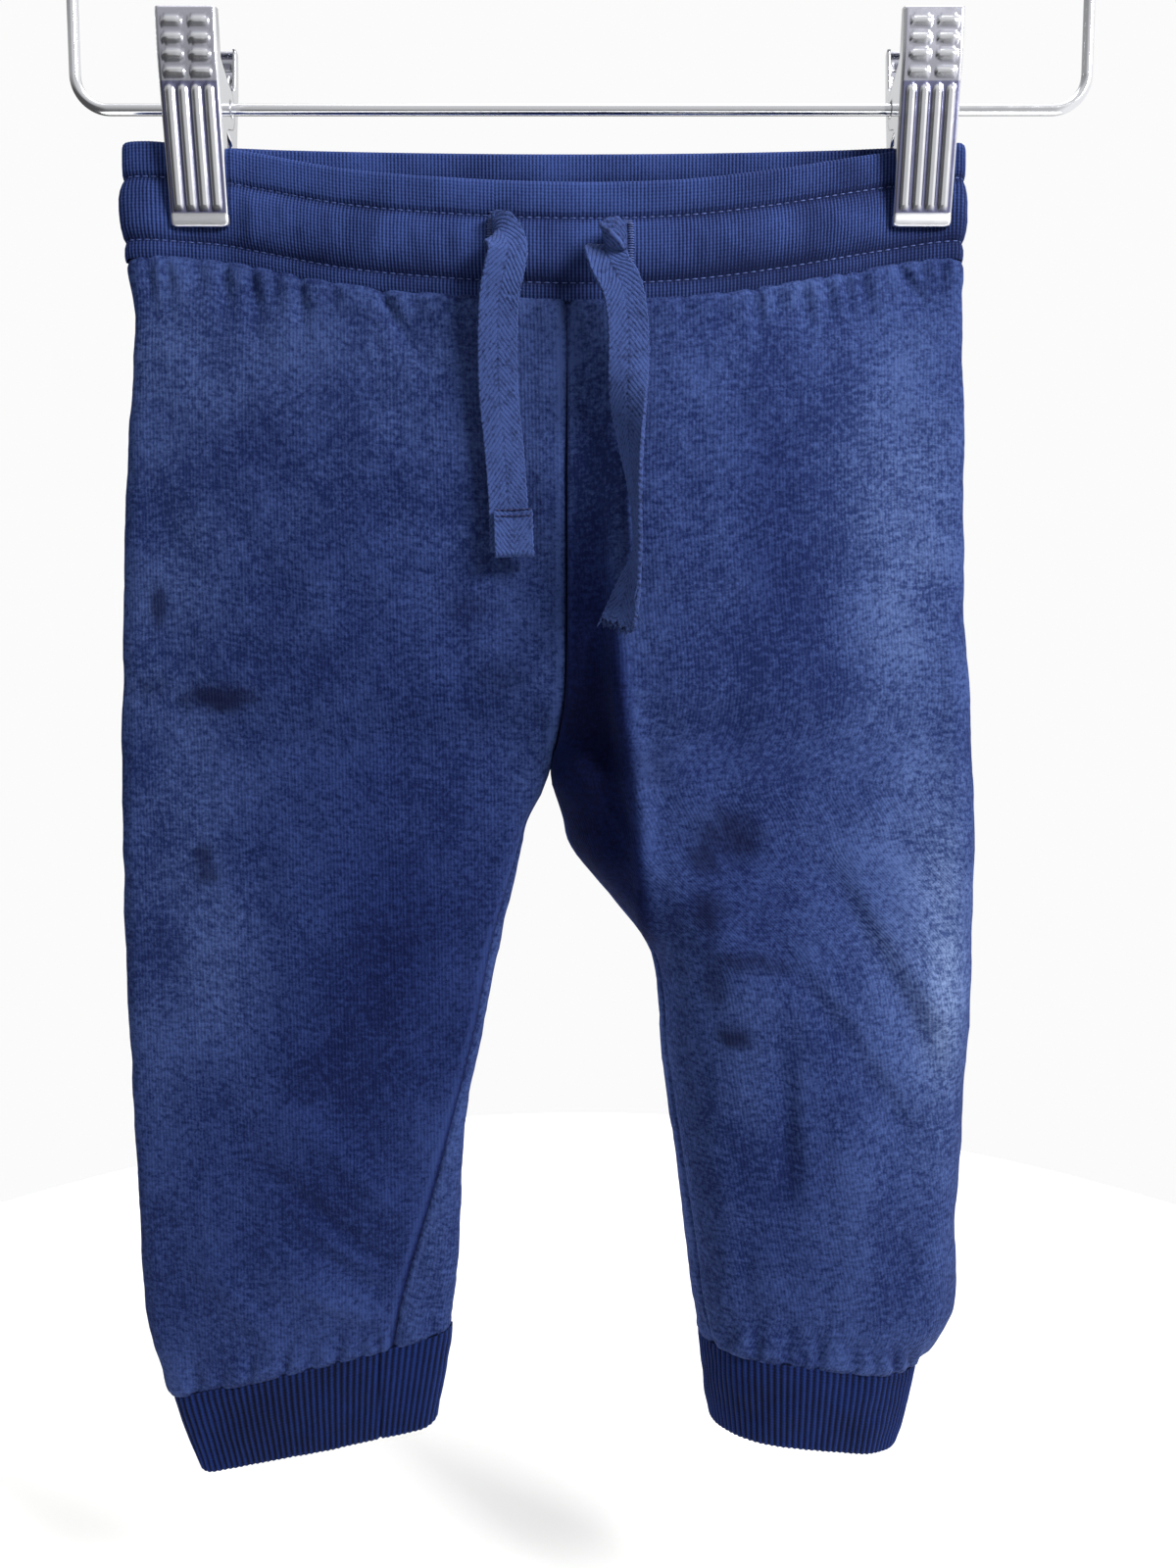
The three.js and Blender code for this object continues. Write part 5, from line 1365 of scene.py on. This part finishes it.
def hanger_frame():
    """The frame from its neck out to the right, down, along the bar, up on the left and back."""
    bm = bmesh.new()
    slope = SHOULDER_SLOPE
    bend_x = UPRIGHT_X - UPPER_BEND
    bend_start_x = bend_x + UPPER_BEND * math.sin(slope)
    bend_start_z = NECK_Z - bend_start_x * math.tan(slope)
    bend_z = bend_start_z - UPPER_BEND * math.cos(slope)
    bar_end = UPRIGHT_X - LOWER_BEND
    shoulder_turn = math.pi / 2 - slope
    outwards = Vector((-bend_start_x, 0, bend_start_z - NECK_Z))
    ring = wire_start(bm, WIRE_RADIUS, (0, 0, NECK_Z), outwards)
    ring = run_wire(bm, ring, outwards)
    ring = bend_wire(bm, ring, (-bend_x, 0, bend_z), -shoulder_turn, 20)
    ring = run_wire(bm, ring, (0, 0, BAR_Z + LOWER_BEND - bend_z))
    ring = bend_wire(bm, ring, (-bar_end, 0, BAR_Z + LOWER_BEND), -math.pi / 2, 20)
    ring = run_wire(bm, ring, (2 * bar_end, 0, 0))
    ring = bend_wire(bm, ring, (bar_end, 0, BAR_Z + LOWER_BEND), -math.pi / 2, 20)
    ring = run_wire(bm, ring, (0, 0, bend_z - BAR_Z - LOWER_BEND))
    ring = bend_wire(bm, ring, (bend_x, 0, bend_z), -shoulder_turn, 20)
    run_wire(bm, ring, (-bend_start_x, 0, NECK_Z - bend_start_z))
    close_wire(bm, 0.3)
    piece = finished("hanger_frame_wire", bm, CHROME_MATERIAL)
    sides = [f"hanger_{name}_{side}" for name in ("end", "shoulder") for side in ("right", "left")]
    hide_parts("hanger_bar", *sides)


def hanger_hook():
    """The hook from its tip over the top and round, and back under itself into the stem."""
    bm = bmesh.new()
    radius = HOOK_MOUTH_RADIUS + HOOK_WIRE_RADIUS
    centre = Vector((0, 0, -HOOK_MOUTH_RADIUS))
    tip = centre + radius * Vector((math.cos(HOOK_TIP), 0, math.sin(HOOK_TIP)))
    ring = wire_start(bm, HOOK_WIRE_RADIUS, tip, (math.sin(HOOK_TIP), 0, -math.cos(HOOK_TIP)))
    ring = bend_wire(bm, ring, centre, HOOK_TIP - HOOK_FOOT, 72)
    foot = centre + radius * Vector((math.cos(HOOK_FOOT), 0, math.sin(HOOK_FOOT)))
    swing = foot.x / (1 - math.cos(HOOK_FOOT))
    swing_z = foot.z + swing * math.sin(HOOK_FOOT)
    ring = bend_wire(bm, ring, (swing, 0, swing_z), HOOK_FOOT, 16)
    run_wire(bm, ring, (0, 0, -HOOK_STEM - 1))
    close_wire(bm, 0.7)
    piece = finished("hanger_hook_wire", bm, CHROME_MATERIAL)
    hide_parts("hanger_hook")


def hanger_ferrule():
    bm = bmesh.new()
    bmesh.ops.create_cone(
        bm, cap_ends=True, segments=64, radius1=FERRULE_RADIUS * MM, radius2=FERRULE_RADIUS * MM,
        depth=FERRULE_TALL * MM, matrix=Matrix.Translation((0, 0, NECK_Z * MM)),
    )
    rims = [edge for edge in bm.edges if abs(edge.verts[0].co.z - edge.verts[1].co.z) < MM]
    bmesh.ops.bevel(bm, geom=rims, offset=MM, segments=5, profile=0.5, affect="EDGES", material=-1)
    bmesh.ops.recalc_face_normals(bm, faces=bm.faces)
    piece = finished("hanger_ferrule_cap", bm, CHROME_MATERIAL)
    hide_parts("hanger_ferrule")


hanger_frame()
hanger_hook()
hanger_ferrule()

# Clips: two jaws of pressed sheet steel turn on the bar, and a coil spring round the bar shuts them. Each
# jaw has a rolled top edge, rows of bumps for the fingers, stiffening ridges, and ears with a hole for the
# bar.
CLIP_X = {"right": -102.5, "left": 91.7}
JAW_HALF_WIDTHS = {"front": 7.9, "back": 6.7}
JAW_PLATE = 0.9
JAW_CORNER = 0.9
JAW_END_CORNER = 1.1
JAW_HOLE = 1.9
# The jaw's grid: rows down it, and steps over a flange, round a corner and over the face.
JAW_GRID_ROWS = 88
FLANGE_STEPS = 16
CORNER_STEPS = 5
FACE_STEPS = 60
EAR_REACH = 3.2
EAR_HALF_TALL = 5.2
BUMP_ROWS = (-133.8, -137.8, -141.7, -145.7)
BUMP_X = 3.5
BUMP_HALF = (2.9, 1.15)
BUMP_HEIGHT = 0.75
RIDGE_ENDS = (-148.6, -178.4)
RIDGE_XS = (-5.2, -1.73, 1.73, 5.2)
RIDGE_HALF = 1.32
RIDGE_HEIGHT = 0.8
SPRING_COIL = 2.5
SPRING_WIRE = 0.5
SPRING_TURNS = 8
SPRING_PITCH = 1.15
# How far each leg of the spring reaches out from the bar and up.
SPRING_LEG = (7.2, 13.5)
JAW_ROWS = np.array([
    # z, the outer face's distance from the bar, the depth of the side flanges
    (-129.5, 10.7, 1.2), (-129.55, 11.6, 1.8), (-129.9, 12.4, 2.4), (-130.6, 12.7, 3), (-136, 12.4, 3.3),
    (-141, 12, 3.6), (-144.8, 11.4, 11), (-148, 10.8, 11), (-152, 10.1, 10.4), (-155.2, 9.6, 9.6),
    (-158, 9.1, 4.6), (-169, 7.2, 3), (-177.5, 5.7, 1.6), (-179, 5.45, 1.2), (-181, 5.1, 1),
    (-182.2, 4.5, 0.9),
])


def jaw(side, face_name):
    """One jaw. The grid's columns run from the free edge of one flange over the face to the other's."""
    facing = -1 if face_name == "front" else 1
    half = JAW_HALF_WIDTHS[face_name]
    run = run_along(JAW_ROWS[:, None, :2], 0)[:, 0]
    at = np.interp(np.linspace(0, run[-1], JAW_GRID_ROWS), run, np.arange(len(JAW_ROWS)))
    z, out = between(JAW_ROWS[:, :2], at).T
    flange = np.interp(at, range(len(JAW_ROWS)), JAW_ROWS[:, 2])
    ear = EAR_REACH * np.sqrt(np.maximum(1 - ((z - BAR_Z) / EAR_HALF_TALL) ** 2, 0))
    flange = np.where(ear > 0, np.maximum(flange, out + ear), flange)
    in_corner = np.clip((JAW_ROWS[-1, 0] + JAW_END_CORNER - z) / JAW_END_CORNER, 0, 1)
    narrow = half - JAW_END_CORNER * (1 - np.sqrt(1 - in_corner**2))

    # Places along the section: a flange, a rounded corner, the face, a corner and the other flange.
    flange_share = np.linspace(1, 0, FLANGE_STEPS + 1)[:-1]
    corner_turn = np.linspace(0, math.pi / 2, CORNER_STEPS + 1)[:-1]
    face_share = np.linspace(-1, 1, FACE_STEPS + 1)
    rows = []
    for level, far, deep, wide in zip(z, out, flange, narrow):
        flat_wide = wide - JAW_CORNER
        sides = [(wide, far - JAW_CORNER - share * max(deep - JAW_CORNER, 0.05)) for share in flange_share]
        corner = [
            (flat_wide + JAW_CORNER * math.cos(a), far - JAW_CORNER * (1 - math.sin(a))) for a in corner_turn
        ]
        half_section = sides + corner
        face = [(share * flat_wide, far) for share in face_share]
        section = [(-x, y) for x, y in half_section] + face + half_section[::-1]
        rows.append([(x, facing * y, level) for x, y in section])
    points = np.array(rows)

    x, height = points[..., 0], points[..., 2]
    scale = half / JAW_HALF_WIDTHS["front"]
    bumps = np.zeros_like(x)
    for row_z in BUMP_ROWS:
        for bump_x in (-BUMP_X, BUMP_X):
            away = ((x / scale - bump_x) / BUMP_HALF[0]) ** 4 + ((height - row_z) / BUMP_HALF[1]) ** 2
            bumps = np.maximum(bumps, np.sqrt(np.maximum(1 - away, 0)))
    ridges = np.zeros_like(x)
    inside_ends = np.minimum(RIDGE_ENDS[0] - height, height - RIDGE_ENDS[1]) / RIDGE_HALF
    beyond = np.clip(1 - inside_ends, 0, 2)
    for ridge_x in RIDGE_XS:
        away = (np.abs(x / scale - ridge_x) / RIDGE_HALF) ** 2.4 + beyond**2.4
        ridges = np.maximum(ridges, np.maximum(1 - away, 0) ** 0.6)
    on_face = np.abs(x) < (narrow - 0.5)[:, None]
    points[..., 1] += facing * (BUMP_HEIGHT * bumps + RIDGE_HEIGHT * ridges) * on_face
    points[..., 0] += CLIP_X[side]
    outward = np.zeros_like(points)
    outward[..., 1] = facing
    satin = 0.75 * bell(height + 180.6, 1.6, 4) + 0.25 * (1 - np.maximum(bumps, ridges)) * on_face
    # Between the ridges and round the bumps the plating is painted darker: a painted reflection of the room's
    # dim side.
    dark_reflection = np.clip(1 - 1.3 * ridges, 0, 1) * (inside_ends > -0.6)
    dark_reflection += 0.45 * (1 - bumps) * (height > RIDGE_ENDS[0])
    piece = grid_piece(
        f"clip_{side}_{face_name}_plate", points, outward, np.stack([x, height], -1), CHROME_MATERIAL,
        {"satin": satin, "dark_reflection": dark_reflection * on_face},
    )
    bm = bmesh.new()
    bm.from_mesh(piece.data)
    centre = Vector((0, 0, BAR_Z * MM))

    def from_bar(place):
        return Vector((0, place.y, place.z)) - centre

    holed = [face for face in bm.faces if from_bar(face.calc_center_median()).length < JAW_HOLE * MM]
    bmesh.ops.delete(bm, geom=holed, context="FACES")
    for vert in bm.verts:
        away = from_bar(vert.co)
        if vert.is_boundary and away.length < 1.5 * JAW_HOLE * MM:
            snapped = away.normalized() * JAW_HOLE * MM + centre
            vert.co = (vert.co.x, snapped.y, snapped.z)
    bm.to_mesh(piece.data)
    bm.free()
    thicken(piece, JAW_PLATE)
    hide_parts(f"clip_{side}_{face_name}_jaw")


def spring(side):
    """The coil round the bar, with one leg against each jaw above the bar."""
    bm = bmesh.new()
    half = SPRING_TURNS * SPRING_PITCH / 2
    steps = 18 * SPRING_TURNS
    start = Vector((CLIP_X[side] - half, -SPRING_COIL, BAR_Z))
    out, up = SPRING_LEG
    leg = Vector((0, -out, up))
    ring = wire_start(bm, SPRING_WIRE, start + leg, -leg, sides=8)
    ring = run_wire(bm, ring, -leg)
    slide = (2 * half / steps, 0, 0)
    ring = bend_wire(
        bm, ring, (start.x, 0, BAR_Z), 2 * math.pi * (SPRING_TURNS - 0.5), steps, (1, 0, 0), slide
    )
    run_wire(bm, ring, (0, out, up))
    close_wire(bm, 0.1)
    piece = finished(f"clip_{side}_coil", bm, CHROME_MATERIAL)
    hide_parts(f"clip_{side}_spring")


for side in ("right", "left"):
    jaw(side, "front")
    jaw(side, "back")
    spring(side)
